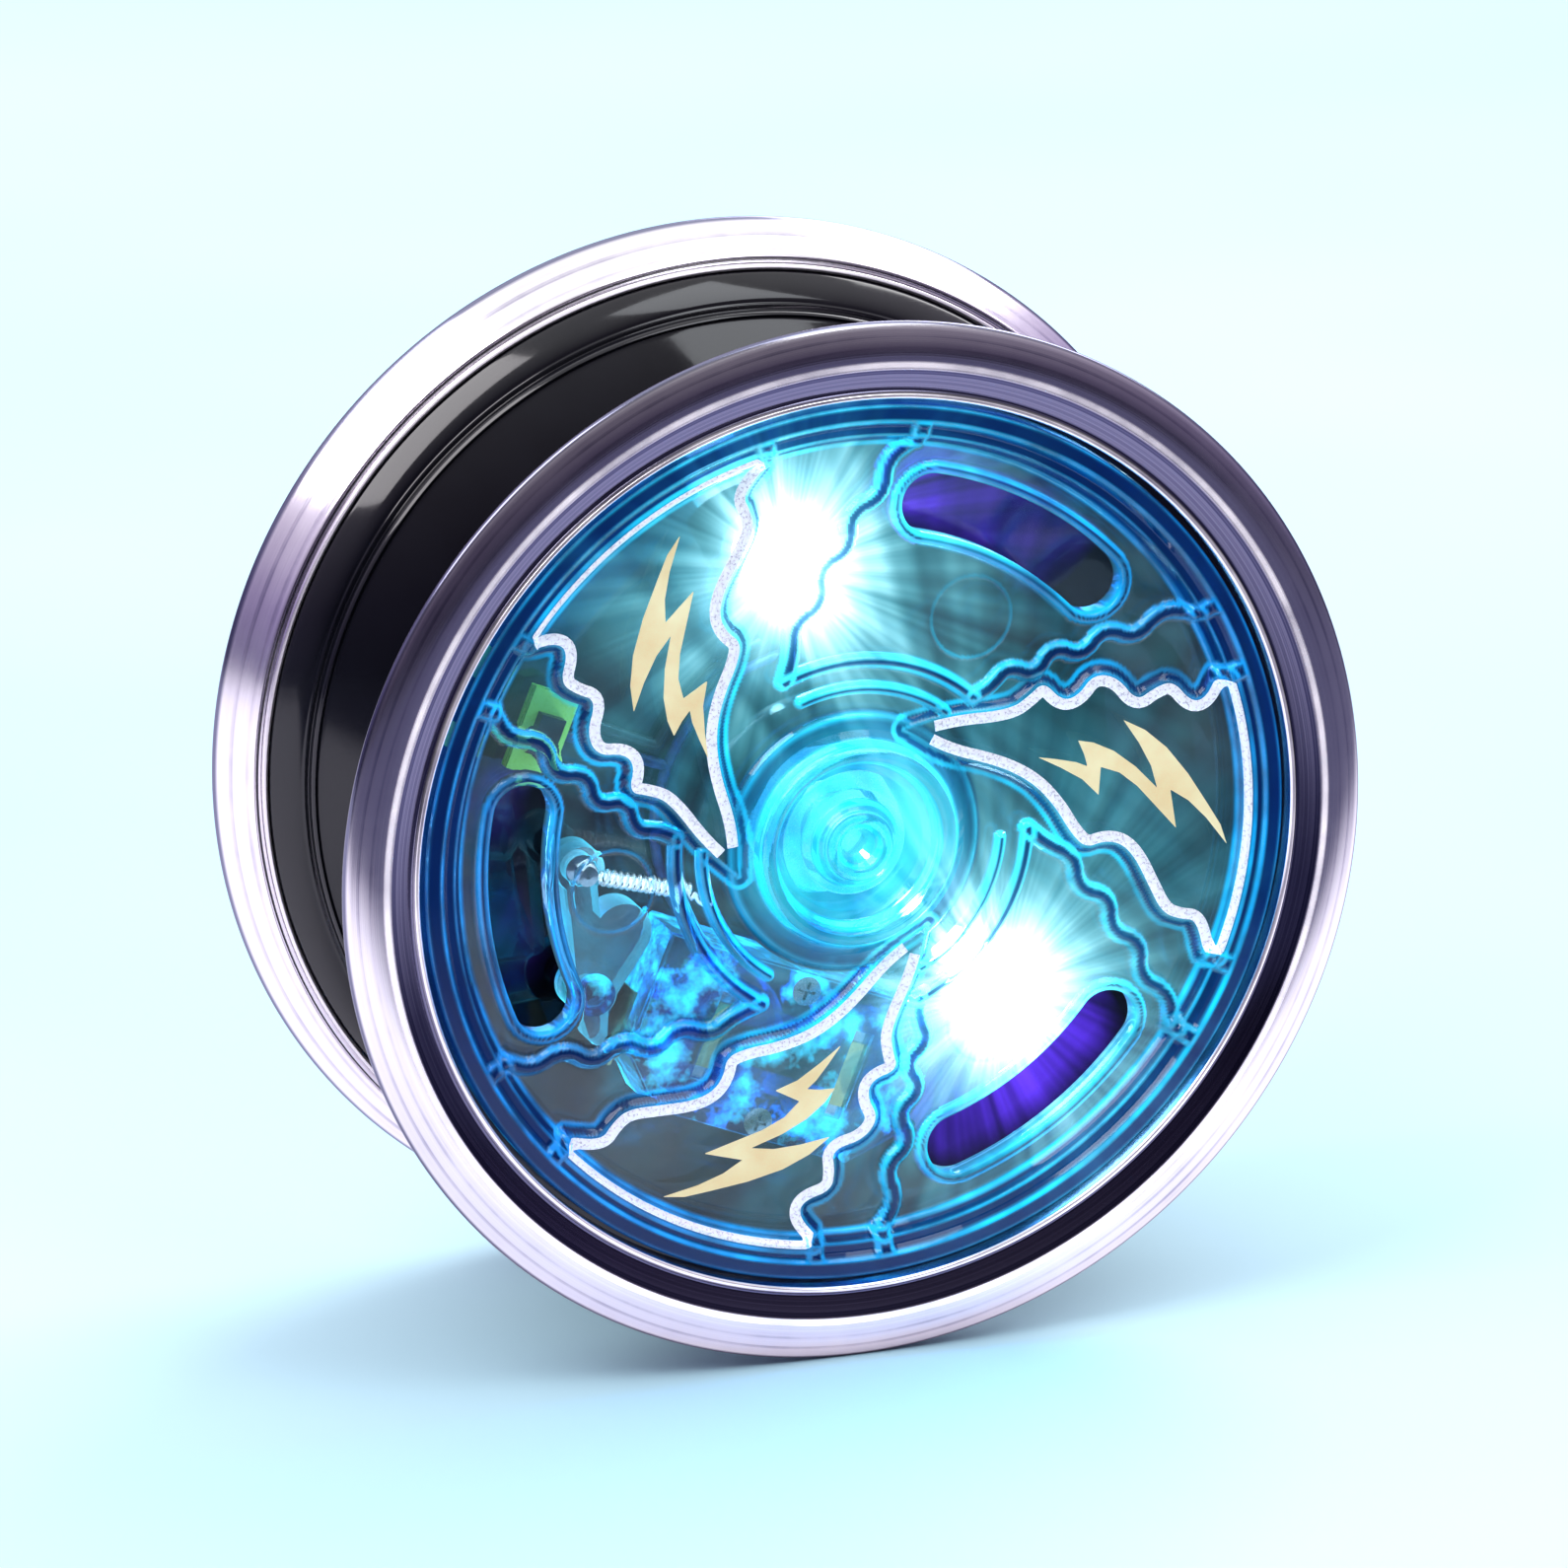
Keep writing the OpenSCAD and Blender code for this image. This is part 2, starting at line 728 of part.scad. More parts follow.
module driver_chip() {
    color("black")
        rotate([0, 0, board_pos[0]])
            translate([board_pos[1], 0, board_z + board_size[2] + chip_size[2] / 2])
                cube(chip_size, center = true);
}

// ---------------------------------------------------------------- switch

module arm_bar(a, r_a, b, r_b) {
    hull() {
        translate(a)
            circle(r = r_a, $fn = 32);
        translate(b)
            circle(r = r_b, $fn = 32);
    }
}

module swung() {
    translate(pivot)
        rotate([0, 0, arm_turn])
            translate(-pivot)
                children();
}

module switch_arm() {
    color("lightcyan", 0.5)
    swung() difference() {
        union() {
            translate([0, 0, arm_z])
                linear_extrude(arm_t) {
                    arm_bar(pivot, 0.8, arm_tip, 0.8);
                    arm_bar(pivot, 1.2, paddle, 1.6);
                    arm_bar(pivot, 0.9, contact_lobe, 0.5);
                }
            post(pivot, 1.35, arm_z, arm_z + arm_t);
            post(arm_tip, 1.3, arm_z, arm_z + arm_t);
        }
        post(pivot, pin_r + running, arm_z - 1, arm_z + arm_t + 1);
        post(arm_tip, weight_r + 0.02, arm_z + 0.4, arm_z + arm_t + 1);
    }
}

// Steel weight in the arm's tip, with a neck on top for the spring's loop
module arm_weight() {
    seat = arm_z + 0.4;
    color("silver")
        swung() translate([arm_tip[0], arm_tip[1], 0])
            rotate_extrude($fn = 60)
                polygon([[0, seat], [weight_r, seat], [weight_r, arm_z + arm_t - 0.2],
                         [peg_r, arm_z + arm_t], [peg_r, spring_z + 0.2],
                         [peg_r + 0.2, spring_z + 0.35], [peg_r + 0.2, spring_z + 0.5],
                         [0, spring_z + 0.6]]);
}

// Moulded peg that the arm turns on, with a domed head that keeps the arm down
module arm_pin() {
    color("deepskyblue")
    union() {
        post(pivot, pin_r, blind_z + 0.05, arm_z + arm_t + 0.06);
        translate([pivot[0], pivot[1], arm_z + arm_t + 0.06])
            rotate_extrude($fn = 48)
                polygon([[0, 0], [1.15, 0], [1.15, 0.25], [0.85, 0.5], [0, 0.5]]);
    }
}

module switch_spring() {
    from = pivot + turned(arm_tip - pivot, arm_turn);
    run = spring_post - from;
    loop_r = 0.58;
    coils = round((norm(run) - 2 * loop_r) / spring_wire);
    coil_len = coils * spring_wire;
    color("silver")
    translate([from[0], from[1], spring_z])
        rotate([0, 0, atan2(run[1], run[0])]) {
            for (x = [0, norm(run)])
                translate([x, 0, 0])
                    rotate_extrude($fn = 40)
                        translate([loop_r, 0])
                            circle(d = spring_wire, $fn = 16);
            translate([(norm(run) - coil_len) / 2, 0, 0])
                rotate([0, 90, 0])
                    rotate_extrude($fn = 40)
                        polygon(concat(
                            [[0, 0]],
                            [for (i = [0 : coils - 1]) for (k = [0 : 2])
                                [spring_d / 2 - (k == 1 ? 0 : 0.1), (i + k / 2) * spring_wire]],
                            [[0, coil_len]]
                        ));
        }
}

// ---------------------------------------------------------------- assembly

front() axle();
front() bearing_inner_ring();
front() bearing_outer_ring();
front() bearing_balls();
front() bearing_cage();
front() bearing_shields();

front() dish();  // front_dish
front() rim_ring();  // front_rim_ring
front() response_pad();  // front_response_pad
front() axle_spacer();  // front_axle_spacer
front() axle_nut();  // front_axle_nut
front() cap();  // front_cap
front() module_case();  // front_module_case
front() module_cover();  // front_module_cover
front() module_screws();  // front_module_screws
front() button_cells();  // front_button_cells
front() cell_bridge();  // front_cell_bridge
front() contact_blade();  // front_contact_blade
front() driver_board();  // front_driver_board
front() driver_chip();  // front_driver_chip
front() lamp(upper_lamp);  // front_upper_lamp
front() lamp(lower_lamp);  // front_lower_lamp
front() positive_wires();  // front_positive_wires
front() negative_wires();  // front_negative_wires
front() switch_arm();  // front_switch_arm
front() arm_weight();  // front_arm_weight
front() arm_pin();  // front_arm_pin
front() switch_spring();  // front_switch_spring

rear() dish();  // rear_dish
rear() rim_ring();  // rear_rim_ring
rear() response_pad();  // rear_response_pad
rear() axle_spacer();  // rear_axle_spacer
rear() axle_nut();  // rear_axle_nut
rear() cap();  // rear_cap
rear() module_case();  // rear_module_case
rear() module_cover();  // rear_module_cover
rear() module_screws();  // rear_module_screws
rear() button_cells();  // rear_button_cells
rear() cell_bridge();  // rear_cell_bridge
rear() contact_blade();  // rear_contact_blade
rear() driver_board();  // rear_driver_board
rear() driver_chip();  // rear_driver_chip
rear() lamp(upper_lamp);  // rear_upper_lamp
rear() lamp(lower_lamp);  // rear_lower_lamp
rear() positive_wires();  // rear_positive_wires
rear() negative_wires();  // rear_negative_wires
rear() switch_arm();  // rear_switch_arm
rear() arm_weight();  // rear_arm_weight
rear() arm_pin();  // rear_arm_pin
rear() switch_spring();  // rear_switch_spring
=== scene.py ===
"""Looks of a light-up yo-yo: polished metal rims, glossy black cups, clear blue swirl caps
with silver and gold foil, and the lit lamps, cells, switches and wires behind them.

Each half is drawn in its own millimetres, with the axle on Z and z growing outwards from
the middle of the string gap, and is then laid along Y as in the CAD frame."""

import json
import math

import bmesh
import bpy
import numpy as np
from mathutils import Matrix, Vector


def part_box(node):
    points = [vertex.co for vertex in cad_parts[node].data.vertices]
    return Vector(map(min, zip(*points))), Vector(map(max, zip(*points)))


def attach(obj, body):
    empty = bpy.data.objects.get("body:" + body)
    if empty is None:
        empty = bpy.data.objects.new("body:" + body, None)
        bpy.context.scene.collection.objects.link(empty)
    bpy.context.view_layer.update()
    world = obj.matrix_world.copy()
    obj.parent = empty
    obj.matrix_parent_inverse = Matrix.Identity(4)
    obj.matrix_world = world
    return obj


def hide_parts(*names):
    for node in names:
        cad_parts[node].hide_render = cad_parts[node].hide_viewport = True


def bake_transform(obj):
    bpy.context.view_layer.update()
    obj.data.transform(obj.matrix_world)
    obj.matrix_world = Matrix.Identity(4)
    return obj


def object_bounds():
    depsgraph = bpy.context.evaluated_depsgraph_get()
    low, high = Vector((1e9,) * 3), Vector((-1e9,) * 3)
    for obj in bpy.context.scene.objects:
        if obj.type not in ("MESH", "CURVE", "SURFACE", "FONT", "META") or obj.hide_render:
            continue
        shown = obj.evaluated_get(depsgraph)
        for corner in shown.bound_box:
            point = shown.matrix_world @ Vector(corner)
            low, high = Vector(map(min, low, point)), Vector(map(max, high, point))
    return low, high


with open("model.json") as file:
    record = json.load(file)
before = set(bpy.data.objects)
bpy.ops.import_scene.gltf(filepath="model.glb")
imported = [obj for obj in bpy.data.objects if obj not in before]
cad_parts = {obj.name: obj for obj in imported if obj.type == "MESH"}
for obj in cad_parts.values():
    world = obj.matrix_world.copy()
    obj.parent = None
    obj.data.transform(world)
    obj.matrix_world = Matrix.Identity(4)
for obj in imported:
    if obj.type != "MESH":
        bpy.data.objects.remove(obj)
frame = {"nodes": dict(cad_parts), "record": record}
cad_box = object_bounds()
scene = bpy.context.scene

# ---- sizes, from the frame

MM = 0.001
SIDES = ("front", "rear")
HALF = {
    "front": Matrix(((1, 0, 0, 0), (0, 0, -1, 0), (0, 1, 0, 0), (0, 0, 0, 1))),
    "rear": Matrix(((-1, 0, 0, 0), (0, 0, 1, 0), (0, 1, 0, 0), (0, 0, 0, 1))),
}

RIM_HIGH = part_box("front_rim_ring")[1] / MM
OUTER_R = RIM_HIGH.x
FACE_Z = -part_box("front_rim_ring")[0].y / MM
GAP_Z = -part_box("front_dish")[1].y / MM
CAP_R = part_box("front_cap")[1].x / MM
CAP_SEAT_Z = -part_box("front_cap")[1].y / MM

# rim
RIDGE_R = OUTER_R - 2.2
RIDGE_LAND = 0.2
HOLLOW_DEEP = 0.5
EDGE_Z = FACE_Z - 0.75
BORE_R = OUTER_R - 4.1
SOCKET_R = OUTER_R - 2.3
SOCKET_Z = FACE_Z - 1.8
RIM_BACK_Z = FACE_Z - 3.5

# dish
DISH_R = SOCKET_R - 0.04
CUP_R = OUTER_R - 4.45
CUP_START_R = 10.2
CUP_END_Z = FACE_Z - 5.5
CUP_POWER = 2.2
WALL = 1.1
FLOOR_Z = 4.2
LEDGE_Z = FACE_Z - 3.8
LEDGE_R = 22.4
PAD_R = (7.5, 9.7)
BOSS_R = 6.1
BOSS_TOP = 7.6
NUT_Z = 4.4
NUT_POCKET_R = 4.15
AXLE_HOLE_R = 2.2
SPACER_Z = 3.2
BEARING_R = 6.75

# cap
PLATE_Z = FACE_Z - 1.8
PLATE_BACK_Z = PLATE_Z - 1
PLATE_R = 21.7
CAP_TOP_Z = FACE_Z - 0.5
SECTOR_TURN = (-4, 122, 241)
SLOT_R = 18.6
SLOT_W = 3.3
SLOT_A = 64
SLOT_HALF_A = 16.4
BLADE_H = 0.45
BLADE_A = (-19, 23)
RIB_A = (33, 85)
HUB_R = 7.2

# lamps, driver board, wires and switch, as angles and radii or as places
LAMPS = {"upper": (103, 15.6), "lower": (312, 12.7)}
LAMP_Z = 5
LAMP_R = 1.45
LAMP_LEG = 0.64
BOARD = (158, 17)
BOARD_Z = 5.3
BOARD_WIRE_R = 15.65
WIRE_R = 0.3
WIRE_Z = 4.58
POSITIVE_R = 9.1
NEGATIVE_R = 10.2
MODULE_POS = (-3.6, -11.9)
MODULE_TURN = -22
MODULE_DEPTH = 9.4
SCREW_Y = 3.75
PIVOT = (-13.6, -7.8)
ARM_TIP = (-14.2, -0.9)
SPRING_POST = (-7.45, -2.75)
SPRING_Z = 8.2


# ---- shapes in plain numbers

def polar(angle, radius):
    a = math.radians(angle)
    return np.array([radius * math.cos(a), radius * math.sin(a)])


def arc(centre, radius, start, end, count):
    """Points on an arc between two angles in degrees."""
    return [tuple(np.array(centre) + polar(start + (end - start) * i / count, radius))
            for i in range(count + 1)]


def blend_points(a, b, count, power):
    """Points from a to b whose second coordinate follows a power curve."""
    return [(a[0] + (b[0] - a[0]) * i / count, a[1] + (b[1] - a[1]) * (i / count) ** power)
            for i in range(count + 1)]


def rounded(points, radius, steps=3, least_turn=18):
    """A closed outline with its sharper corners rounded."""
    out = []
    count = len(points)
    for i in range(count):
        a, b, c = (np.array(points[(i + k) % count], float) for k in (-1, 0, 1))
        into, away = b - a, c - b
        la, lc = np.linalg.norm(into), np.linalg.norm(away)
        cosine = np.clip(into @ away / (la * lc), -1, 1)
        if math.degrees(math.acos(cosine)) < least_turn:
            out.append(tuple(b))
            continue
        p = b - into / la * min(radius, 0.45 * la)
        q = b + away / lc * min(radius, 0.45 * lc)
        for k in range(steps + 1):
            t = k / steps
            out.append(tuple((1 - t) ** 2 * p + 2 * t * (1 - t) * b + t * t * q))
    return out


def softened(points, rounds=2):
    """A line with its corners cut back again and again, with both ends kept."""
    points = np.array(points, float)
    for _ in range(rounds):
        a, b = points[:-1], points[1:]
        cut = np.empty((2 * len(a), points.shape[1]))
        cut[0::2], cut[1::2] = 0.75 * a + 0.25 * b, 0.25 * a + 0.75 * b
        points = np.vstack([points[:1], cut, points[-1:]])
    return points


def bezier(a, b, c, t):
    a, b, c = (np.array(p, float) for p in (a, b, c))
    return (1 - t) ** 2 * a + 2 * t * (1 - t) * b + t * t * c


def zigzag(a, b, c, count, swing, calm):
    """Points along a curve from a to c, bent towards b, that jump from side to side
    after the fraction calm of the way."""
    out = []
    for i in range(count + 1):
        t = i / count
        along = bezier(a, b, c, t + 0.01) - bezier(a, b, c, t)
        left = np.array([-along[1], along[0]]) / np.linalg.norm(along)
        jump = swing * (1 if i % 2 == 0 else -1) if t > calm and i < count else 0
        out.append(bezier(a, b, c, t) + left * jump)
    return out


def turn(points, angle):
    """Points in the plane turned by an angle in degrees."""
    points = np.asarray(points, float)
    c, s = math.cos(math.radians(angle)), math.sin(math.radians(angle))
    return np.column_stack([points[:, 0] * c - points[:, 1] * s,
                            points[:, 0] * s + points[:, 1] * c])


def line_distance(points, line):
    """How far each point is from a line through several points."""
    best = np.full(len(points), 1e9)
    for a, b in zip(line[:-1], line[1:]):
        along = b - a
        share = np.clip((points - a) @ along / (along @ along), 0, 1)
        best = np.minimum(best, np.hypot(*(points - a - share[:, None] * along).T))
    return best


def inside(points, outline):
    """True for each point inside a closed outline."""
    result = np.zeros(len(points), bool)
    x, y = points.T
    for (x0, y0), (x1, y1) in zip(outline, np.roll(outline, -1, axis=0)):
        crosses = (y0 > y) != (y1 > y)
        with np.errstate(divide="ignore", invalid="ignore"):
            result ^= crosses & (x < (x1 - x0) * (y - y0) / (y1 - y0) + x0)
    return result


def smooth_step(x):
    x = np.clip(x, 0, 1)
    return x * x * (3 - 2 * x)


def bead(distance, half_width):
    """The height, up to 1, of a round bead at a distance from its middle line."""
    return np.sqrt(np.clip(1 - (distance / half_width) ** 2, 0, 1))


# ---- meshes

def shaded(data, work, crease):
    """Writes a bmesh back with smooth shading, except across edges sharper than crease."""
    bmesh.ops.recalc_face_normals(work, faces=work.faces)
    for face in work.faces:
        face.smooth = True
    for edge in work.edges:
        edge.smooth = edge.calc_face_angle(0) < math.radians(crease)
    work.to_mesh(data)
    work.free()
    return data


class Shape:
    """Vertices in millimetres and faces, gathered from several simple forms."""

    def __init__(self):
        self.points, self.faces = [], []

    def add(self, points, faces):
        start = len(self.points)
        self.points.extend(tuple(float(v) for v in p) for p in points)
        self.faces.extend([tuple(start + i for i in f) for f in faces])
        return self

    def lathe(self, profile, segments=96, place=(0, 0), closed=True, sweep=(0, 360)):
        """A profile of (radius, height) points turned round an upright line."""
        full = abs(sweep[1] - sweep[0]) >= 360
        count = segments if full else segments + 1
        angles = [math.radians(sweep[0] + (sweep[1] - sweep[0]) * j / segments)
                  for j in range(count)]
        rows = len(profile)
        points = [(place[0] + r * math.cos(a), place[1] + r * math.sin(a), z)
                  for r, z in profile for a in angles]
        faces = []
        for i in range(rows if closed else rows - 1):
            k = (i + 1) % rows
            for j in range(segments):
                m = (j + 1) % count
                faces.append((i * count + j, i * count + m, k * count + m, k * count + j))
        if not full:
            faces.append(tuple(i * count for i in range(rows)))
            faces.append(tuple(i * count + count - 1 for i in reversed(range(rows))))
        return self.add(points, faces)

    def loft(self, rings, crossed=()):
        """A closed skin through rings of equally many points; crossed strips split the other way."""
        count = len(rings[0])
        faces = [tuple(reversed(range(count)))]
        for i in range(len(rings) - 1):
            for j in range(count):
                low, m = i * count, (j + 1) % count
                quad = (low + j, low + m, low + count + m, low + count + j)
                faces.append(quad[1:] + quad[:1] if j in crossed else quad)
        faces.append(tuple((len(rings) - 1) * count + j for j in range(count)))
        return self.add([p for ring in rings for p in ring], faces)

    def tube(self, path, radius, sides=12):
        """A round tube with capped ends along a path of points in space."""
        path = np.asarray(path, float)
        along = np.gradient(path, axis=0)
        along /= np.linalg.norm(along, axis=1)[:, None]
        side = np.cross(along[0], (0.3, 0.5, 0.81))
        rings = []
        for p, a in zip(path, along):
            side = side - (side @ a) * a
            side /= np.linalg.norm(side)
            up = np.cross(a, side)
            rings.append([p + radius * (math.cos(t) * side + math.sin(t) * up)
                          for t in np.arange(sides) * 2 * math.pi / sides])
        return self.loft(rings)

    def slab(self, outline, z0, z1):
        """A flat outline made thick."""
        return self.loft([[(x, y, z) for x, y in outline] for z in (z0, z1)])

    def mesh(self, name, crease=32):
        """A smooth-shaded mesh in metres whose edges sharper than crease stay sharp."""
        data = bpy.data.meshes.new(name)
        data.from_pydata([Vector(p) * MM for p in self.points], [], self.faces)
        work = bmesh.new()
        work.from_mesh(data)
        bmesh.ops.remove_doubles(work, verts=work.verts, dist=1e-7)
        bmesh.ops.dissolve_degenerate(work, edges=work.edges, dist=1e-8)
        return shaded(data, work, crease)


def place_piece(name, mesh, material, side, nodes=(), body="yoyo"):
    """One piece of one half, riding on a body, in place of CAD nodes of that half."""
    obj = bpy.data.objects.new(f"{side}_{name}", mesh)
    scene.collection.objects.link(obj)
    if not mesh.materials:
        mesh.materials.append(material)
    obj.matrix_world = HALF[side]
    if body:
        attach(obj, body)
    if nodes:
        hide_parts(*(f"{side}_{n}" for n in nodes))
    return obj


# ---- material helpers

class Nodes:
    """Short ways to build the node tree of a new material, or of the world."""

    def __init__(self, name, world=None):
        self.material = world or bpy.data.materials.new(name)
        self.material.use_nodes = True
        self.tree = self.material.node_tree
        self.tree.nodes.clear()
        self.output = self.add("ShaderNodeOutputWorld" if world else "ShaderNodeOutputMaterial")

    def add(self, kind, inputs=None, **settings):
        node = self.tree.nodes.new(kind)
        for key, value in settings.items():
            setattr(node, key, value)
        for key, value in (inputs or {}).items():
            if isinstance(value, bpy.types.NodeSocket):
                self.tree.links.new(value, node.inputs[key])
            else:
                node.inputs[key].default_value = value
        return node

    def math(self, operation, a, b=0.0):
        return self.add("ShaderNodeMath", {0: a, 1: b}, operation=operation).outputs[0]

    def vector(self, operation, a, b=(0, 0, 0)):
        return self.add("ShaderNodeVectorMath", {0: a, 1: b}, operation=operation).outputs

    def times(self, a, b):
        return self.math("MULTIPLY", a, b)

    def plus(self, a, b):
        return self.math("ADD", a, b)

    def from_line(self, value, place):
        """How far a value is from a place, on either side of it."""
        return self.math("ABSOLUTE", self.math("SUBTRACT", value, place))

    def where(self):
        return self.add("ShaderNodeTexCoord").outputs["Object"]

    def outward(self, name):
        """One part of the surface normal in the half's own frame."""
        return self.axis(self.add("ShaderNodeTexCoord").outputs["Normal"], name)

    def noise(self, scale, detail=4, rough=0.55, vector=None):
        node = self.add("ShaderNodeTexNoise", {"Vector": vector or self.where(),
                        "Scale": scale, "Detail": detail, "Roughness": rough})
        return node.outputs["Fac"]

    def ramp(self, value, *stops):
        node = self.add("ShaderNodeValToRGB", {"Fac": value})
        band = node.color_ramp
        while len(band.elements) < len(stops):
            band.elements.new(0.5)
        for element, (place, colour) in zip(band.elements, stops):
            element.position = place
            element.color = (*colour, 1)
        return node.outputs["Color"]

    def span(self, value, low, high, to_low, to_high):
        node = self.add("ShaderNodeMapRange", {"Value": value, "From Min": low,
                        "From Max": high, "To Min": to_low, "To Max": to_high})
        return node.outputs["Result"]

    def vary(self, texture, low, high):
        """A value between low and high that follows a noise texture."""
        return self.span(texture, 0.3, 0.7, low, high)

    def axis(self, vector, name):
        return self.add("ShaderNodeSeparateXYZ", {"Vector": vector}).outputs[name]

    def bump(self, height, strength, depth):
        """A surface roughened by a texture, with its depth in millimetres."""
        return self.add("ShaderNodeBump", {"Height": height, "Strength": strength,
                                           "Distance": depth * MM}).outputs["Normal"]

    def radius(self):
        """Distance from the axle in millimetres."""
        return self.from_axis(0, 0)

    def from_axis(self, x, y):
        """Distance from the line along the axle's direction through x, y, all in millimetres."""
        flat = self.vector("MULTIPLY", self.where(), (1 / MM, 1 / MM, 0))[0]
        return self.vector("DISTANCE", flat, (x, y, 0))["Value"]

    def mix(self, factor, a, b):
        node = self.add("ShaderNodeMix", {0: factor, 6: a, 7: b}, data_type="RGBA")
        return node.outputs[2]

    def glow(self, *parts):
        """The sum of several lights, each given as a strength and a colour."""
        total = None
        for strength, colour in parts:
            scaled = self.add("ShaderNodeVectorMath", {0: colour, "Scale": strength},
                              operation="SCALE").outputs[0]
            total = scaled if total is None else self.vector("ADD", total, scaled)[0]
        return total

    def principled(self, inputs):
        shader = self.add("ShaderNodeBsdfPrincipled", inputs)
        self.tree.links.new(shader.outputs[0], self.output.inputs["Surface"])
        return shader

    def clear_to_shadows(self, shader, colour):
        """Lets light through in the given colour where the surface would cast a shadow."""
        clear = self.add("ShaderNodeBsdfTransparent", {"Color": rgb(*colour)})
        path = self.add("ShaderNodeLightPath").outputs["Is Shadow Ray"]
        mixed = self.add("ShaderNodeMixShader", {0: path, 1: shader.outputs[0], 2: clear.outputs[0]})
        self.tree.links.new(mixed.outputs[0], self.output.inputs["Surface"])


def rgb(r, g, b):
    return (r, g, b, 1)


# ---- materials

def rim_metal():
    """Turned zinc alloy: rings from the lathe and cloudy wear, with painted shade in streaks over the hollow
    band, a painted dark line along the outer edge, a ridge painted near-white, and a faint painted glow on
    the ridge and the inner lip.
    """
    n = Nodes("rim_metal")
    r = n.radius()
    rings = n.add("ShaderNodeCombineXYZ", {"X": r, "Y": 0.0, "Z": 0.0}).outputs[0]
    fine = n.noise(9, 3, 0.6, rings)
    broad = n.noise(2.6, 3, 0.65, rings)
    cloud = n.noise(160, 5, 0.6)
    colour = n.ramp(n.plus(n.times(broad, 0.75), n.times(cloud, 0.25)),
                    (0.36, (0.42, 0.40, 0.50)), (0.47, (0.84, 0.80, 0.86)), (0.64, (0.97, 0.94, 0.97)))
    height = n.times(n.axis(n.where(), "Z"), 1 / MM)
    slope_r = RIDGE_R - RIDGE_LAND
    # Painted shade: the hollow band between the ridge slope and the bore lip is painted dark, in streaks.
    outside = n.math("LESS_THAN", n.from_line(height, FACE_Z - HOLLOW_DEEP / 2), HOLLOW_DEEP * 0.52)
    band = n.times(n.span(r, slope_r - 0.1, slope_r + 0.02, 1.0, 0.0),
                   n.span(r, BORE_R + 0.32, BORE_R + 0.42, 0.0, 1.0))
    band = n.times(outside, band)
    hollow_shade = n.ramp(broad, (0.36, (0.05, 0.05, 0.12)), (0.6, (0.26, 0.25, 0.36)))
    # Painted highlight: the ridge is painted near-white, and the ridge and the inner lip glow faintly where
    # they lie above the hollow. The ridge is also rougher.
    ridge = n.span(n.from_line(r, RIDGE_R), 0.1, 0.24, 1.0, 0.0)
    # Painted shade: a dark navy line along the outermost rounded edge.
    brink_shade = n.span(r, OUTER_R - 0.2, OUTER_R - 0.08, 0.0, 0.85)
    rough = n.span(n.plus(fine, n.times(cloud, 0.8)), 0.6, 1.3, 0.10, 0.22)
    rough = n.plus(rough, n.times(ridge, 0.32))
    colour = n.mix(brink_shade, n.mix(band, colour, hollow_shade), rgb(0.10, 0.11, 0.20))
    lip = n.span(n.from_line(r, BORE_R + 0.2), 0.08, 0.2, 0.7, 0.0)
    faces_out = n.math("GREATER_THAN", height, FACE_Z - HOLLOW_DEEP)
    painted_glint = n.times(n.times(n.plus(ridge, lip), faces_out), n.span(cloud, 0.35, 0.65, 0.14, 0.5))
    n.principled({"Base Color": n.mix(ridge, colour, rgb(1.0, 0.97, 0.99)), "Metallic": 1.0,
                  "Roughness": rough, "Emission Color": rgb(1.0, 0.95, 0.99), "Emission Strength": painted_glint,
                  "Normal": n.bump(fine, 0.25, 0.02)})
    return n.material


def dish_black():
    """High-gloss black shell with a touch of orange peel and fine handling marks, and a painted violet glow
    from the lamps under the slots.
    """
    n = Nodes("dish_black")
    peel = n.noise(700, 3, 0.5)
    marks = n.noise(5200, 6, 0.75)
    cloud = n.noise(90, 4, 0.6)
    colour = n.ramp(cloud, (0.3, (0.004, 0.004, 0.007)), (0.75, (0.011, 0.011, 0.016)))
    rough = n.span(n.times(marks, cloud), 0.12, 0.42, 0.05, 0.17)
    # Painted light: a violet glow from the lamps, in streaks, on the surfaces under the three slots that
    # face out towards the cap.
    under_slots = n.span(n.from_line(n.radius(), SLOT_R + 0.4), 1.8, 3.2, 1.0, 0.0)
    for_slot = [n.span(n.from_axis(*polar(a + SLOT_A, SLOT_R)), 5.5, 7, 1.0, 0.0)
                for a in SECTOR_TURN]
    near_slot = n.math("MAXIMUM", for_slot[0], n.math("MAXIMUM", for_slot[1], for_slot[2]))
    under_slots = n.times(under_slots, near_slot)
    indoors = n.times(n.span(n.outward("Z"), 0.1, 0.3, 0.0, 1.0), under_slots)
    painted_slot_glow = n.times(n.times(lamp_falloff(n, 6), lamp_rays(n)), indoors)
    n.principled({"Base Color": colour, "Roughness": rough, "IOR": 1.52,
                  "Coat Weight": 0.4, "Coat Roughness": 0.04,
                  "Emission Color": n.glow((painted_slot_glow, (0.20, 0.07, 1.3))), "Emission Strength": 1.0,
                  "Normal": n.bump(peel, 0.06, 0.04)})
    return n.material


def lamp_rays(n):
    """Painted light rays: streaks that run out from both lamps."""
    rays = None
    for angle, radius in LAMPS.values():
        x, y = polar(angle, radius) * MM
        away = n.vector("SUBTRACT", n.where(), (x, y, 0))[0]
        way = n.vector("NORMALIZE", n.vector("MULTIPLY", away, (1, 1, 0))[0])[0]
        ray = n.span(n.noise(7.0, 2, 0.6, way), 0.34, 0.68, 0.35, 1.75)
        rays = ray if rays is None else n.times(rays, ray)
    return rays


def lamp_falloff(n, width):
    """Painted light from both lamps at a point, fading over width millimetres."""
    total = None
    for angle, radius in LAMPS.values():
        away = n.from_axis(*polar(angle, radius))
        fade = n.math("EXPONENT", n.times(away, -1 / width))
        total = fade if total is None else n.plus(total, fade)
    return total


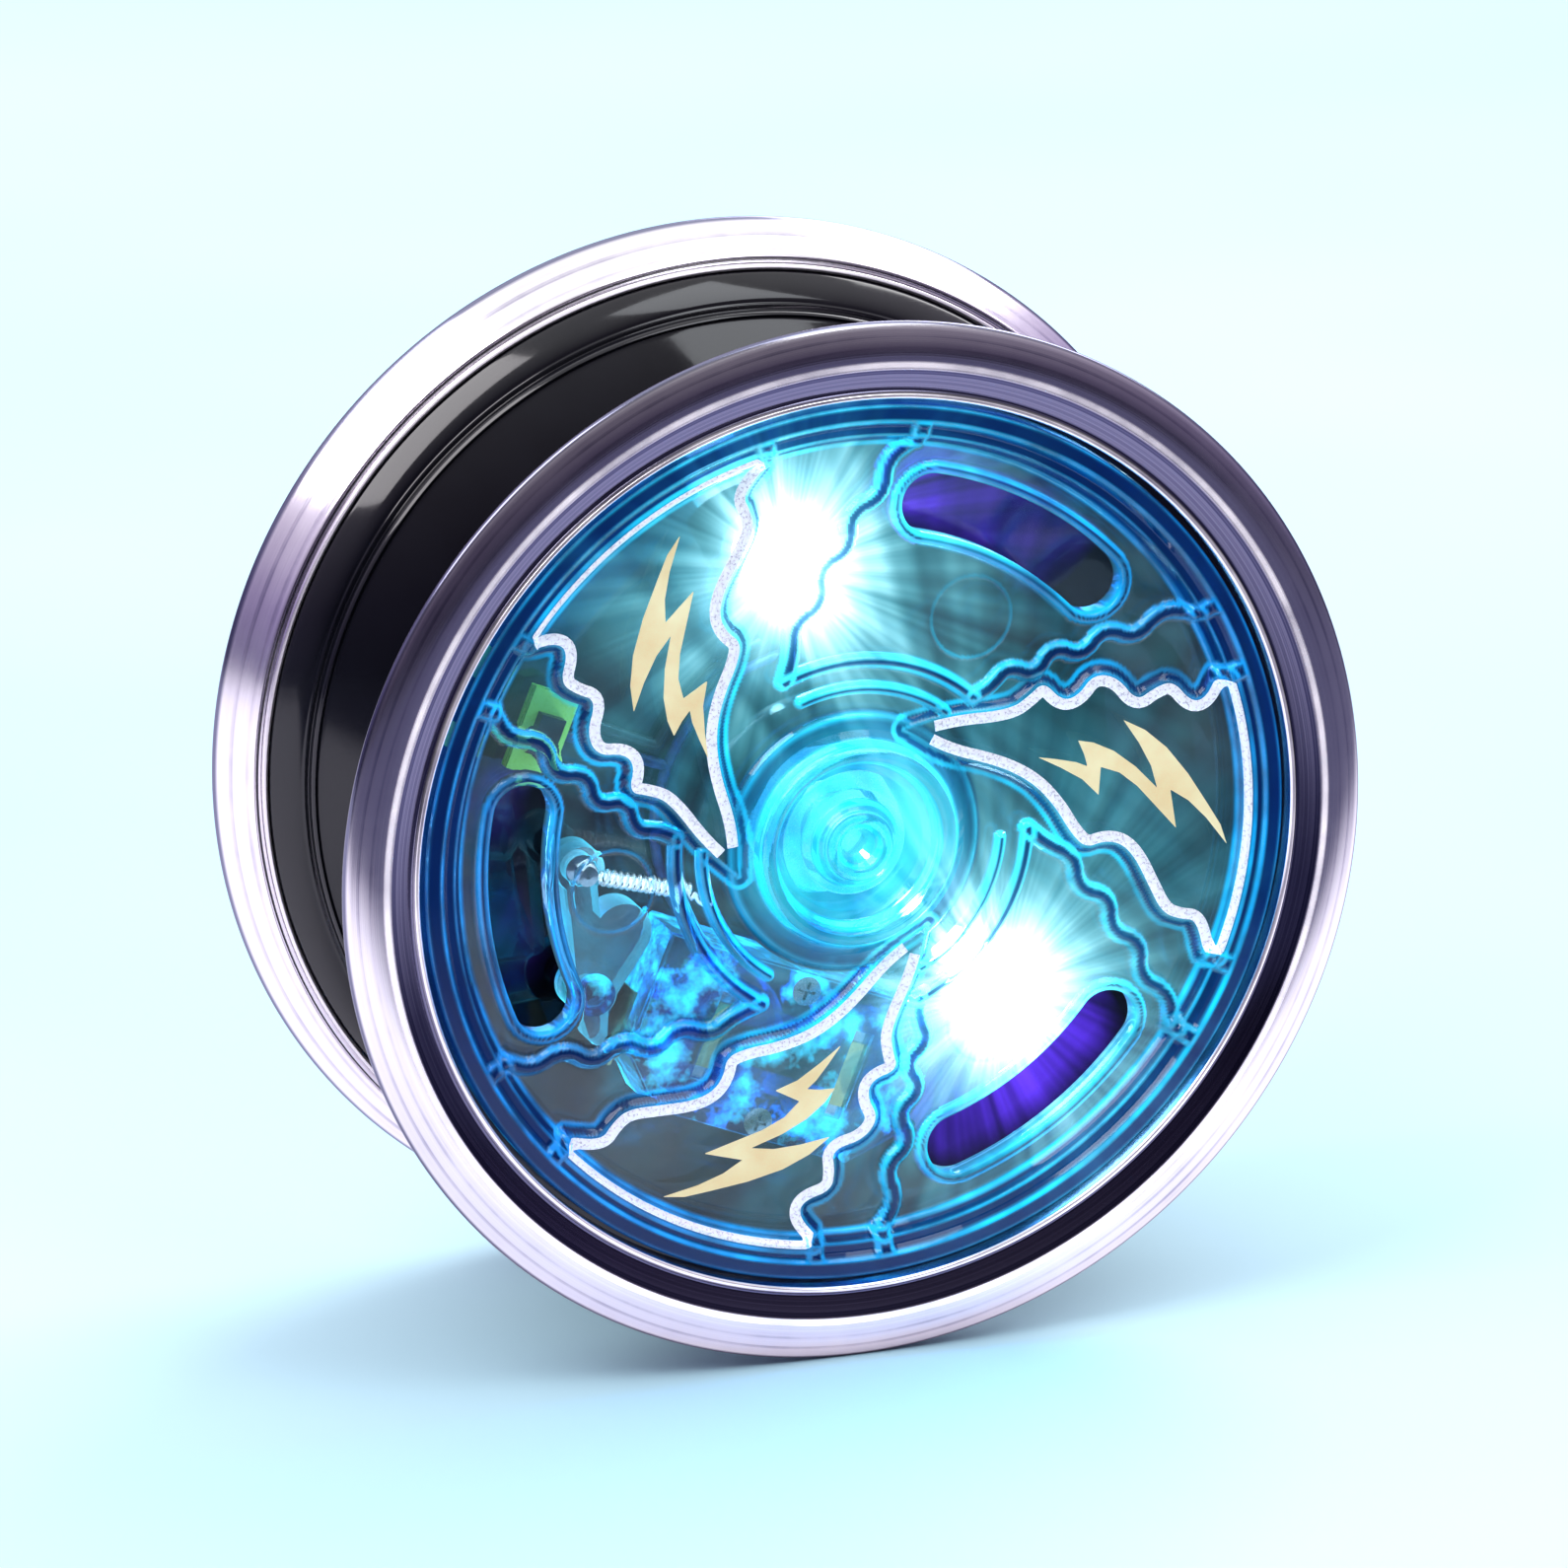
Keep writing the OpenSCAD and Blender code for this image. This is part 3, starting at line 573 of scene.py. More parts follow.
def cap_blue():
    """Clear blue moulding: navy where it is thick, with painted glow along its edges (brighter near the
    lamps and on edges that face up), over the hub, in its thick parts and round the lamps, and a faint
    painted grey glow on the thin plate.
    """
    n = Nodes("cap_blue")
    edge = n.add("ShaderNodeAttribute", attribute_name="edge").outputs["Fac"]
    deep = n.add("ShaderNodeAttribute", attribute_name="deep").outputs["Fac"]
    flow = n.noise(260, 3, 0.5)
    haze = n.noise(110, 4, 0.6)
    plate = n.ramp(flow, (0.35, (0.74, 0.84, 0.86)), (0.7, (0.86, 0.93, 0.95)))
    tint = n.mix(edge, n.mix(deep, plate, rgb(0.012, 0.05, 0.20)), rgb(0.10, 0.55, 0.97))
    # Painted light: a halo round each lamp, in streaks, weaker where the moulding is thick.
    near, hot = lamp_falloff(n, 5.8), lamp_falloff(n, 1.8)
    painted_halo = n.plus(n.times(n.times(near, 0.52), lamp_rays(n)), n.times(hot, 3.4))
    painted_halo = n.times(painted_halo, n.span(deep, 0.0, 1.0, 1.0, 0.25))
    # Painted light: the moulded edges glow, more near the lamps, and edges that face up are painted brighter
    # than edges that face down.
    sharp = n.times(n.math("POWER", edge, 1.5), n.span(n.outward("Y"), -0.45, 0.45, 0.45, 1.3))
    painted_edge_glow = n.times(n.times(sharp, n.span(flow, 0.35, 0.66, 0.35, 1.45)),
                    n.plus(0.62, n.times(near, 1.3)))
    # Painted light: the hub glows cyan, the thick parts glow blue, and the thin plate has a faint grey glow.
    hub = n.span(n.radius(), 4, HUB_R, 0.36, 0.0)
    painted_plate_glow = n.times(n.span(haze, 0.35, 0.7, 0.006, 0.04), n.span(deep, 0.0, 0.6, 1.0, 0.0))
    inner = n.times(deep, 0.10)
    light = n.glow((painted_halo, n.ramp(painted_halo, (0.0, (0.05, 0.60, 0.72)), (0.9, (0.62, 0.98, 1.0)))),
                   (painted_edge_glow, n.ramp(near, (0.0, (0.0, 0.28, 0.92)), (0.12, (0.0, 0.52, 0.98)),
                                  (0.35, (0.01, 0.80, 1.0)))),
                   (hub, n.ramp(flow, (0.34, (0.0, 0.28, 0.66)), (0.64, (0.03, 0.92, 1.0)))),
                   (inner, (0.0, 0.14, 0.80)), (painted_plate_glow, (0.66, 0.68, 0.70)))
    shader = n.add("ShaderNodeBsdfPrincipled", {
        "Base Color": tint, "Transmission Weight": 1.0, "IOR": 1.49,
        "Roughness": n.vary(flow, 0.015, 0.05),
        "Emission Color": light, "Emission Strength": 1.0,
        "Normal": n.bump(flow, 0.05, 0.05)})
    n.clear_to_shadows(shader, (0.72, 0.93, 1.0))
    absorb = n.add("ShaderNodeVolumeAbsorption", {"Color": rgb(0.20, 0.62, 0.86), "Density": 330.0})
    n.tree.links.new(absorb.outputs[0], n.output.inputs["Volume"])
    return n.material


def silver_foil():
    """Hot-stamped silver foil, finely grained, with a faint painted glow in its own colour."""
    n = Nodes("silver_foil")
    grain = n.noise(7000, 3, 0.75)
    wear = n.noise(1800, 5, 0.7)
    colour = n.ramp(grain, (0.36, (0.50, 0.47, 0.54)), (0.54, (0.96, 0.91, 0.95)))
    # Painted light: the foil glows faintly in its own colour, to look brightly lit.
    n.principled({"Base Color": colour, "Metallic": 0.2, "Emission Color": colour, "Emission Strength": 0.28,
                  "Roughness": n.vary(wear, 0.30, 0.5), "Normal": n.bump(grain, 0.5, 0.03)})
    return n.material


def gold_foil():
    """Sandy gold print, paler in its grain, with a faint painted glow in its own colour."""
    n = Nodes("gold_foil")
    grain = n.noise(11000, 4, 0.7)
    broad = n.noise(420, 3, 0.5)
    colour = n.mix(n.times(grain, 0.45),
                   n.ramp(broad, (0.3, (0.86, 0.58, 0.27)), (0.7, (1.0, 0.80, 0.46))),
                   rgb(1.0, 0.90, 0.66))
    # Painted light: the print glows faintly in its own colour, to look brightly lit.
    n.principled({"Base Color": colour, "Metallic": 0.1, "Emission Color": colour, "Emission Strength": 0.2,
                  "Roughness": n.vary(grain, 0.42, 0.62), "Normal": n.bump(grain, 0.35, 0.03)})
    return n.material


def steel(name, low, high, rough, scale=2600, painted_glint=0.0):
    """Plated or drawn steel with fine scratches; glint sets a painted highlight, a glow where the surface
    faces the eye.
    """
    n = Nodes(name)
    scratch = n.noise(scale, 6, 0.75)
    cloud = n.noise(scale / 12, 4, 0.6)
    facing = n.add("ShaderNodeLayerWeight", {"Blend": 0.5}).outputs["Facing"]
    n.principled({"Base Color": n.ramp(cloud, (0.3, low), (0.7, high)), "Metallic": 1.0,
                  "Roughness": n.vary(scratch, rough * 0.7, rough * 1.4),
                  "Emission Color": rgb(*high), "Emission Strength": n.span(facing, 0.1, 0.7, painted_glint, 0.0),
                  "Normal": n.bump(scratch, 0.08, 0.02)})
    return n.material


def rubber():
    n = Nodes("pad_silicone")
    grain = n.noise(4200, 5, 0.7)
    n.principled({"Base Color": n.ramp(grain, (0.3, (0.012, 0.012, 0.014)), (0.7, (0.035, 0.035, 0.04))),
                  "Roughness": n.vary(grain, 0.62, 0.85), "Normal": n.bump(grain, 0.4, 0.04)})
    return n.material


def clear_plastic(name, colour, deep, rough, patch_glow, outline):
    """Clear coloured plastic with a painted cyan glow in patches and along its outline where it is seen
    edge-on.
    """
    n = Nodes(name)
    flow = n.noise(700, 3, 0.5)
    # Painted light: cyan glow in noise patches, and along the outline where the surface is seen edge-on.
    patch = n.span(n.noise(330, 4, 0.65), 0.50, 0.66, 0.0, patch_glow)
    grazing = n.add("ShaderNodeLayerWeight", {"Blend": 0.3}).outputs["Facing"]
    rim_light = n.times(n.math("POWER", grazing, 3.0), outline)
    shader = n.add("ShaderNodeBsdfPrincipled", {
        "Base Color": n.ramp(flow, (0.3, deep), (0.72, colour)),
        "Transmission Weight": 0.9, "IOR": 1.46,
        "Roughness": n.vary(flow, rough * 0.6, rough * 1.8),
        "Emission Color": n.glow((patch, (0.05, 0.75, 1.0)), (rim_light, (0.1, 0.75, 1.0))),
        "Emission Strength": 1.0,
        "Normal": n.bump(n.noise(420, 4, 0.6), 0.5, 0.2)})
    n.clear_to_shadows(shader, colour)
    return n.material


def pvc(name, low, high):
    n = Nodes(name)
    grain = n.noise(2400, 4, 0.6)
    n.principled({"Base Color": n.ramp(grain, (0.3, low), (0.7, high)),
                  "Roughness": n.vary(grain, 0.28, 0.42), "Normal": n.bump(grain, 0.1, 0.03)})
    return n.material


def board_green():
    """Solder mask over copper tracks, with a faint painted green glow."""
    n = Nodes("board_green")
    tracks = n.add("ShaderNodeTexBrick", {
        "Vector": n.where(), "Scale": 900.0, "Mortar Size": 0.06,
        "Color1": rgb(0.16, 0.55, 0.06), "Color2": rgb(0.24, 0.68, 0.10),
        "Mortar": rgb(0.52, 0.78, 0.16)}).outputs["Color"]
    weave = n.noise(5200, 3, 0.6)
    # Painted light: the board glows faintly green.
    n.principled({"Base Color": tracks, "Roughness": n.vary(weave, 0.22, 0.4),
                  "Emission Color": rgb(0.3, 0.9, 0.1), "Emission Strength": 0.12,
                  "Normal": n.bump(weave, 0.15, 0.03)})
    return n.material


def lamp_glow():
    """Lit water-clear lamp: nearly white in the middle, cyan towards its edge."""
    n = Nodes("lamp_epoxy")
    facing = n.add("ShaderNodeLayerWeight", {"Blend": 0.35}).outputs["Facing"]
    swirl = n.noise(900, 3, 0.6)
    colour = n.ramp(n.plus(facing, n.times(swirl, 0.2)),
                    (0.15, (0.85, 1.0, 1.0)), (0.8, (0.08, 0.75, 1.0)))
    n.principled({"Base Color": rgb(0.8, 0.97, 1.0), "Roughness": n.vary(swirl, 0.08, 0.2),
                  "Emission Color": colour, "Emission Strength": 9.0})
    return n.material


# ---- rim and dish

def rim_profile():
    back = [(BORE_R, SOCKET_Z), (SOCKET_R, SOCKET_Z), (SOCKET_R, RIM_BACK_Z),
            (SOCKET_R + 0.15, RIM_BACK_Z - 0.12), (SOCKET_R + 0.3, RIM_BACK_Z - 0.02),
            (SOCKET_R + 0.42, RIM_BACK_Z + 0.3), (SOCKET_R + 0.62, RIM_BACK_Z + 0.3),
            (SOCKET_R + 0.7, RIM_BACK_Z + 0.22)]
    gap_side = blend_points((SOCKET_R + 0.78, RIM_BACK_Z + 0.3),
                            (OUTER_R - 0.12, EDGE_Z - 0.3), 18, 0.92)
    edge = arc((OUTER_R - 0.25, EDGE_Z), 0.25, -35, 60, 10)
    crown = [(OUTER_R - 0.22 + (RIDGE_R + RIDGE_LAND - OUTER_R + 0.22) * i / 18,
              EDGE_Z + 0.28 + (FACE_Z - EDGE_Z - 0.28) * math.sin(math.pi / 2 * i / 18))
             for i in range(1, 19)]
    slope_r = RIDGE_R - RIDGE_LAND
    hollow = [(slope_r + (BORE_R + 0.5 - slope_r) * i / 16,
               FACE_Z - HOLLOW_DEEP * (0.85 * i / 16 + 0.15 * math.sin(math.pi / 2 * i / 16)))
              for i in range(17)]
    lip = [(BORE_R + 0.4, FACE_Z - HOLLOW_DEEP + 0.04), (BORE_R + 0.28, FACE_Z - 0.22),
           (BORE_R + 0.12, FACE_Z - 0.2), (BORE_R, FACE_Z - 0.32)]
    return rounded(back + gap_side + edge + crown + hollow + lip, 0.05)


def cup_z(r):
    share = max(0.0, r - CUP_START_R) / (CUP_R - CUP_START_R)
    return GAP_Z + (CUP_END_Z - GAP_Z) * share ** CUP_POWER


def dish_profile():
    hub = [(AXLE_HOLE_R, SPACER_Z), (4.4, SPACER_Z), (4.4, GAP_Z + 0.45),
           (BEARING_R, GAP_Z + 0.45), (BEARING_R, GAP_Z + 0.1), (BEARING_R + 0.1, GAP_Z),
           (PAD_R[0], GAP_Z), (PAD_R[0], GAP_Z + 1), (PAD_R[1], GAP_Z + 1), (PAD_R[1], GAP_Z)]
    cup = [(r, cup_z(r)) for r in np.linspace(CUP_START_R, CUP_R, 72)]
    steps = [(CUP_R + 0.18, CUP_END_Z - 0.08), (CUP_R + 0.32, CUP_END_Z + 0.1),
             (CUP_R + 0.36, CUP_END_Z + 0.5), (CUP_R + 0.62, CUP_END_Z + 0.52)]
    band = blend_points((CUP_R + 0.7, CUP_END_Z + 0.62), (DISH_R - 0.05, RIM_BACK_Z - 0.15), 14, 1.4)
    shoulder = [(DISH_R, RIM_BACK_Z - 0.05), (DISH_R, SOCKET_Z - 0.04), (CAP_R + 0.06, SOCKET_Z - 0.04),
                (CAP_R + 0.06, LEDGE_Z), (LEDGE_R, LEDGE_Z)]
    inner = [(r, max(FLOOR_Z, cup_z(r) + WALL)) for r in np.linspace(LEDGE_R, BOSS_R + 0.4, 60)]
    boss = [(BOSS_R, FLOOR_Z + 0.4), (BOSS_R, BOSS_TOP), (NUT_POCKET_R, BOSS_TOP),
            (NUT_POCKET_R, NUT_Z), (AXLE_HOLE_R, NUT_Z)]
    return rounded(hub + cup + steps + band + shoulder + inner + boss, 0.06)


def on_module(x, y):
    return np.array(MODULE_POS) + turn([(x, y)], MODULE_TURN)[0]


def dish_shape():
    shape = Shape().lathe(dish_profile(), 256)
    post = [(0, FLOOR_Z - 0.1), (1.5, FLOOR_Z - 0.1), (1.5, 5.3), (1.35, 5.48), (0, 5.5)]
    shape.lathe(post, 40, PIVOT)
    peg = [(0, FLOOR_Z - 0.1), (0.35, FLOOR_Z - 0.1), (0.35, SPRING_Z + 0.35), (0.22, SPRING_Z + 0.5),
           (0, SPRING_Z + 0.5)]
    shape.lathe(peg, 24, SPRING_POST)
    for s in (-1, 1):
        seat = [(0, FLOOR_Z - 0.1), (0.9, FLOOR_Z - 0.1), (0.9, 4.6), (0, 4.6)]
        shape.lathe(seat, 32, on_module(0, s * SCREW_Y))
    for angle, radius in LAMPS.values():
        collar = rounded([(LAMP_R + 0.25, FLOOR_Z - 0.1), (2.4, FLOOR_Z - 0.1),
                          (2.4, LAMP_Z + 0.9), (LAMP_R + 0.25, LAMP_Z + 0.9)], 0.12)
        shape.lathe(collar, 48, polar(angle, radius), sweep=(angle - 150, angle + 150))
    for s in (-1, 1):
        bar = turn([(BOARD[1] - 1.2, s * 1.8 - 0.4), (BOARD[1] + 1, s * 1.8 - 0.4),
                    (BOARD[1] + 1, s * 1.8 + 0.4), (BOARD[1] - 1.2, s * 1.8 + 0.4)], BOARD[0])
        shape.slab(bar, FLOOR_Z - 0.1, BOARD_Z)
    return shape


# ---- cap

def hub_profile():
    """Top of the hub as (radius, height): a rounded wall round a dish with a hollow boss."""
    top = CAP_TOP_Z + 0.2
    return ([(0, PLATE_Z + 0.4), (0.65, PLATE_Z + 0.42), (0.95, PLATE_Z + 1.05)]
            + arc((1.55, top - 0.45), 0.45, 150, 20, 10)
            + [(2.25, top - 0.6), (2.45, PLATE_Z + 0.5), (2.9, PLATE_Z + 0.25),
               (3.9, PLATE_Z + 0.25), (4.35, PLATE_Z + 0.5), (4.55, top - 0.35)]
            + arc((5.05, top - 0.4), 0.45, 165, 10, 12)
            + [(5.75, PLATE_Z + 0.75), (6.2, PLATE_Z + 0.45), (6.9, PLATE_Z + 0.35),
               (HUB_R, PLATE_Z)])


def wall_profile():
    """Top of the stepped wall between the plate and the rim."""
    return [(PLATE_R, PLATE_Z), (PLATE_R + 0.35, PLATE_Z + 0.45), (PLATE_R + 0.55, PLATE_Z + 0.8),
            (PLATE_R + 1.05, PLATE_Z + 0.85), (PLATE_R + 1.35, CAP_TOP_Z - 0.12),
            (PLATE_R + 1.5, CAP_TOP_Z), (CAP_R - 0.12, CAP_TOP_Z), (CAP_R, CAP_TOP_Z - 0.12)]


CAP_PROFILE = np.array(hub_profile() + wall_profile())
# moulded edges that carry painted glow, as (radius, half width, share): on the hub, then on the stepped wall
EDGE_LINES = ((1.15, 0.16, 0.8), (2.3, 0.16, 0.8), (4.5, 0.22, 0.7), (5.6, 0.2, 0.8), (6.9, 0.18, 0.6),
              (PLATE_R + 0.05, 0.16, 1), (PLATE_R + 0.57, 0.12, 0.7), (PLATE_R + 1.4, 0.15, 1),
              (CAP_R - 0.1, 0.1, 0.6))
BLADE_TIP = (2.4, 6.1)
BLADE_UPPER = softened([BLADE_TIP, (5, 6.8), (8.3, 7), (9.3, 7.7), (10.1, 8.5), (11.2, 7.4), (12.1, 7.6),
                        (12.9, 8.8), (14.3, 8.6), (15.5, 7.2), (16.4, 7.9), (17.5, 8.3), (18.6, 7.1),
                        (19.4, 7.2), polar(BLADE_A[1], PLATE_R)])
BLADE_LOWER = softened([BLADE_TIP, (4.7, 4.7), (7.9, 3.9), (9.9, 2.9), (11.3, 1.5), (12.3, 0), (13.2, -0.85),
                        (14.2, -0.5), (15.2, -0.65), (16.1, -1.5), (17, -3.1), (17.9, -4.65), (19, -5.05),
                        (19.9, -5.1), polar(BLADE_A[0], PLATE_R)])
BLADE_END = np.array(arc((0, 0), PLATE_R + 0.25, BLADE_A[0] + 0.5, BLADE_A[1] - 0.5, 24))
BLADE = np.vstack([BLADE_LOWER, BLADE_END, BLADE_UPPER[:0:-1]])
# ribs of a sector as (line, half width)
RIBS = (
    (softened(zigzag(polar(51, 9.9), (10.5, 10.2), polar(RIB_A[0], PLATE_R + 0.3), 9, 0.6, 0.15)), 0.5),
    (softened(zigzag(polar(117, 9.9), polar(101, 16), polar(RIB_A[1], PLATE_R + 0.3), 9, 0.55, 0.15)),
     0.5),
    (np.array(arc((0, 0), 9.9, 51, 117, 24)), 0.4),
    (np.array(arc((0, 0), 8.4, 56, 114, 24)), 0.34),
)


def slot_skeleton(points):
    """The nearest point on the middle line of a slot, for points in a sector's own frame."""
    angle = np.degrees(np.arctan2(points[:, 1], points[:, 0]))
    angle = np.radians(np.clip(angle, SLOT_A - SLOT_HALF_A, SLOT_A + SLOT_HALF_A))
    return SLOT_R * np.column_stack([np.cos(angle), np.sin(angle)])


def cap_surface(points):
    """Height of the cap's outer surface, and from 0 to 1 how strongly it is marked as an edge (edges get
    painted glow) and how thick it is.
    """
    r = np.hypot(*points.T)
    height = np.interp(r, CAP_PROFILE[:, 0], CAP_PROFILE[:, 1])
    edge = np.max([bead(r - line_r, half) * share for line_r, half, share in EDGE_LINES], axis=0)
    deep = np.maximum(smooth_step((r - PLATE_R) / 0.15),
                      0.6 * smooth_step((r - 5.3) / 0.4) * smooth_step((HUB_R + 0.2 - r) / 0.3))
    for angle in SECTOR_TURN:
        local = turn(points, -angle)
        a = np.degrees(np.arctan2(local[:, 1], local[:, 0]))
        near = np.nonzero((r > 5.6) & (r < 23.4) & (a > -50) & (a < 150))[0]
        p, raised, line, thick = local[near], *np.zeros((3, len(near)))
        for rib, half in RIBS:
            away = line_distance(p, rib)
            raised = np.maximum(raised, 0.5 * bead(away, half))
            line = np.maximum(line, bead(away - half + 0.12, 0.17))
            thick = np.maximum(thick, bead(away, half - 0.12))
        slot_away = np.hypot(*(p - slot_skeleton(p)).T) - SLOT_W / 2
        raised = np.maximum(raised, 0.34 * bead(slot_away - 0.28, 0.36))
        line = np.maximum(line, np.maximum(0.85 * bead(slot_away - 0.1, 0.17), bead(slot_away - 0.5, 0.16)))
        thick = np.maximum(thick, 0.8 * bead(slot_away - 0.3, 0.25))
        side = line_distance(p, BLADE) * np.where(inside(p, BLADE), 1, -1)
        raised = np.maximum(raised, BLADE_H * smooth_step((side + 0.5) / 0.5))
        line = np.maximum(line, np.maximum(bead(side + 0.62, 0.17), 0.8 * bead(side + 0.05, 0.13)))
        thick = np.maximum(thick, bead(side + 0.32, 0.3))
        mark = np.abs(np.hypot(*(p - polar(SLOT_A, 13.4)).T) - 2.24)
        raised = np.maximum(raised, 0.07 * bead(mark, 0.1))
        line = np.maximum(line, 0.5 * bead(mark, 0.12))
        out = np.maximum(height[near], PLATE_Z + raised)
        behind = smooth_step((a[near] - BLADE_A[0]) / 1.2) * smooth_step((BLADE_A[1] - a[near]) / 1.2)
        ramp = PLATE_Z + np.clip((r[near] - PLATE_R + 0.3) / 0.8, 0, 1) * 1.1
        out = np.maximum(out, out + (ramp - out) * behind)
        for bar in RIB_A + BLADE_A:
            off = np.abs(np.sin(np.radians(a[near] - bar))) * r[near]
            reach = smooth_step((r[near] - PLATE_R + 0.3) / 0.3) * smooth_step((23.2 - r[near]) / 0.3)
            out = np.minimum(np.maximum(out, out + 0.4 * bead(off, 0.5) * reach), CAP_TOP_Z)
            line = np.maximum(line, bead(off - 0.4, 0.17) * reach)
        height[near] = out
        edge[near] = np.maximum(edge[near], line)
        deep[near] = np.maximum(deep[near], thick)
    return height, edge, deep * (1 - edge)


def quad_edges(quads):
    return {tuple(sorted(pair)) for quad in quads.tolist() for pair in zip(quad, quad[1:] + quad[:1])}


def cap_mesh():
    """The cap as one closed skin: a grid of rings whose height is the moulded surface."""
    segments = 900
    hub_rings = CAP_PROFILE[:len(hub_profile()), 0]
    radii = np.unique(np.round(np.concatenate([
        np.interp(np.linspace(0, len(hub_rings) - 1, 70), np.arange(len(hub_rings)), hub_rings),
        np.arange(0.02, HUB_R, 0.14), np.arange(HUB_R, PLATE_R, 0.13),
        np.arange(PLATE_R, CAP_R, 0.09), CAP_PROFILE[1:, 0],
        [SLOT_R - SLOT_W / 2, SLOT_R + SLOT_W / 2]]), 4))
    radii = radii[radii > 0.01]
    rows = len(radii)
    angles = np.linspace(0, 2 * math.pi, segments, endpoint=False)
    points = np.stack([np.outer(radii, np.cos(angles)), np.outer(radii, np.sin(angles))], axis=-1)
    points = points.reshape(-1, 2)

    away = np.full(len(points), 1e9)
    snapped = points.copy()
    for turned in SECTOR_TURN:
        local = turn(points, -turned)
        nearest = slot_skeleton(local)
        offset = local - nearest
        reach = np.hypot(*offset.T)
        rim = turn(nearest + offset / np.maximum(reach, 1e-6)[:, None] * SLOT_W / 2, turned)
        closer = reach - SLOT_W / 2 < away
        away[closer] = (reach - SLOT_W / 2)[closer]
        snapped[closer] = rim[closer]

    around = np.arange(segments)
    ahead = np.roll(around, -1)

    def bands(row_list):
        top, low = (np.array(part)[:, None] * segments for part in (row_list[:-1], row_list[1:]))
        return np.stack([top + around, top + ahead, low + ahead, low + around], axis=-1).reshape(-1, 4)

    faces = bands(range(rows))
    cut = away[faces].mean(axis=1) < -1e-4
    kept, lost = faces[~cut], faces[cut]
    rim_points = np.intersect1d(kept, lost)
    points[rim_points] = snapped[rim_points]
    height, edge, deep = cap_surface(points)
    # The slot walls get the full edge mark, so they carry the full painted edge glow.
    edge[rim_points] = 1.0

    in_slots = np.abs(radii - SLOT_R) < SLOT_W / 2 + 1e-3
    back_rows = [i for i in range(rows)
                 if in_slots[i] or i in (0, rows - 1) or i % 24 == 0 and radii[i] < CAP_R - 1.7]
    back = bands(back_rows)
    back = back[away[back].mean(axis=1) >= -1e-4]
    start = len(points)
    back_height = np.full(start, PLATE_BACK_Z)
    back_height[-segments:] = CAP_SEAT_Z

    outer = (rows - 1) * segments
    faces = kept.tolist() + (back[:, ::-1] + start).tolist()
    faces += [(outer + i, outer + j, outer + j + start, outer + i + start) for i, j in zip(around, ahead)]
    slot_sides = quad_edges(kept[np.isin(kept, rim_points).sum(axis=1) > 1]) & quad_edges(lost)
    faces += [(i, j, j + start, i + start) for i, j in sorted(slot_sides)]
    faces += [around.tolist(), (around[::-1] + start).tolist()]
    verts = np.vstack([np.column_stack([points, height]), np.column_stack([points, back_height])])

    data = bpy.data.meshes.new("cap")
    data.from_pydata((verts * MM).tolist(), [], faces)
    for name, values in (("edge", edge), ("deep", deep)):
        mark = data.attributes.new(name, "FLOAT", "POINT")
        mark.data.foreach_set("value", np.concatenate([values, np.zeros(start)]).astype(np.float32))
    work = bmesh.new()
    work.from_mesh(data)
    bmesh.ops.delete(work, geom=[v for v in work.verts if not v.link_faces], context="VERTS")
    return shaded(data, work, 60)


def on_cap(points, lift):
    """Points of the plane laid on the cap, a little above it."""
    points = np.asarray(points, float)
    return np.column_stack([points, cap_surface(points)[0] + lift])


def spaced(line, step):
    """The same line with points an even step apart."""
    line = np.asarray(line, float)
    run = np.concatenate([[0], np.cumsum(np.hypot(*np.diff(line, axis=0).T))])
    places = np.linspace(0, run[-1], max(2, int(run[-1] / step)))
    return np.column_stack([np.interp(places, run, line[:, k]) for k in (0, 1)])


TIP_GAP = 0.85
FOIL_THICK = 0.05


def foil_mesh():
    """Silver edging that follows each blade and climbs onto the wall at its outer end."""
    shape = Shape()
    wall = arc((0, 0), PLATE_R + 0.72, BLADE_A[0] + 1.2, BLADE_A[1] - 1.2, 30)
    lower = BLADE_LOWER[:-1][line_distance(BLADE_LOWER[:-1], BLADE_UPPER) > TIP_GAP]
    upper = BLADE_UPPER[:-1][line_distance(BLADE_UPPER[:-1], BLADE_LOWER) > TIP_GAP]
    loop = np.vstack([lower, wall, upper[::-1]])
    loop = spaced(softened(loop, 1), 0.16)
    tangent = np.gradient(loop, axis=0)
    tangent /= np.hypot(*tangent.T)[:, None]
    inward = np.column_stack([-tangent[:, 1], tangent[:, 0]])
    section = ((0.02, 0.0), (0.1, 0.03), (0.32, 0.045), (0.54, 0.03), (0.62, 0.0))
    width = (1 - 0.35 * smooth_step((np.hypot(*loop.T) - PLATE_R - 0.2) / 0.3))[:, None]
    for angle in SECTOR_TURN:
        top = np.stack([on_cap(turn(loop + inward * offset * width, angle), 0.008 + lift)
                        for offset, lift in section], axis=1)
        # the underside is split like the top, or it would come through where the foil is twisted
        shape.loft(np.concatenate([top, top[:, ::-1] - (0, 0, FOIL_THICK)], axis=1),
                   crossed=range(len(section), 2 * len(section) - 1))
    return shape.mesh("foil", 50)


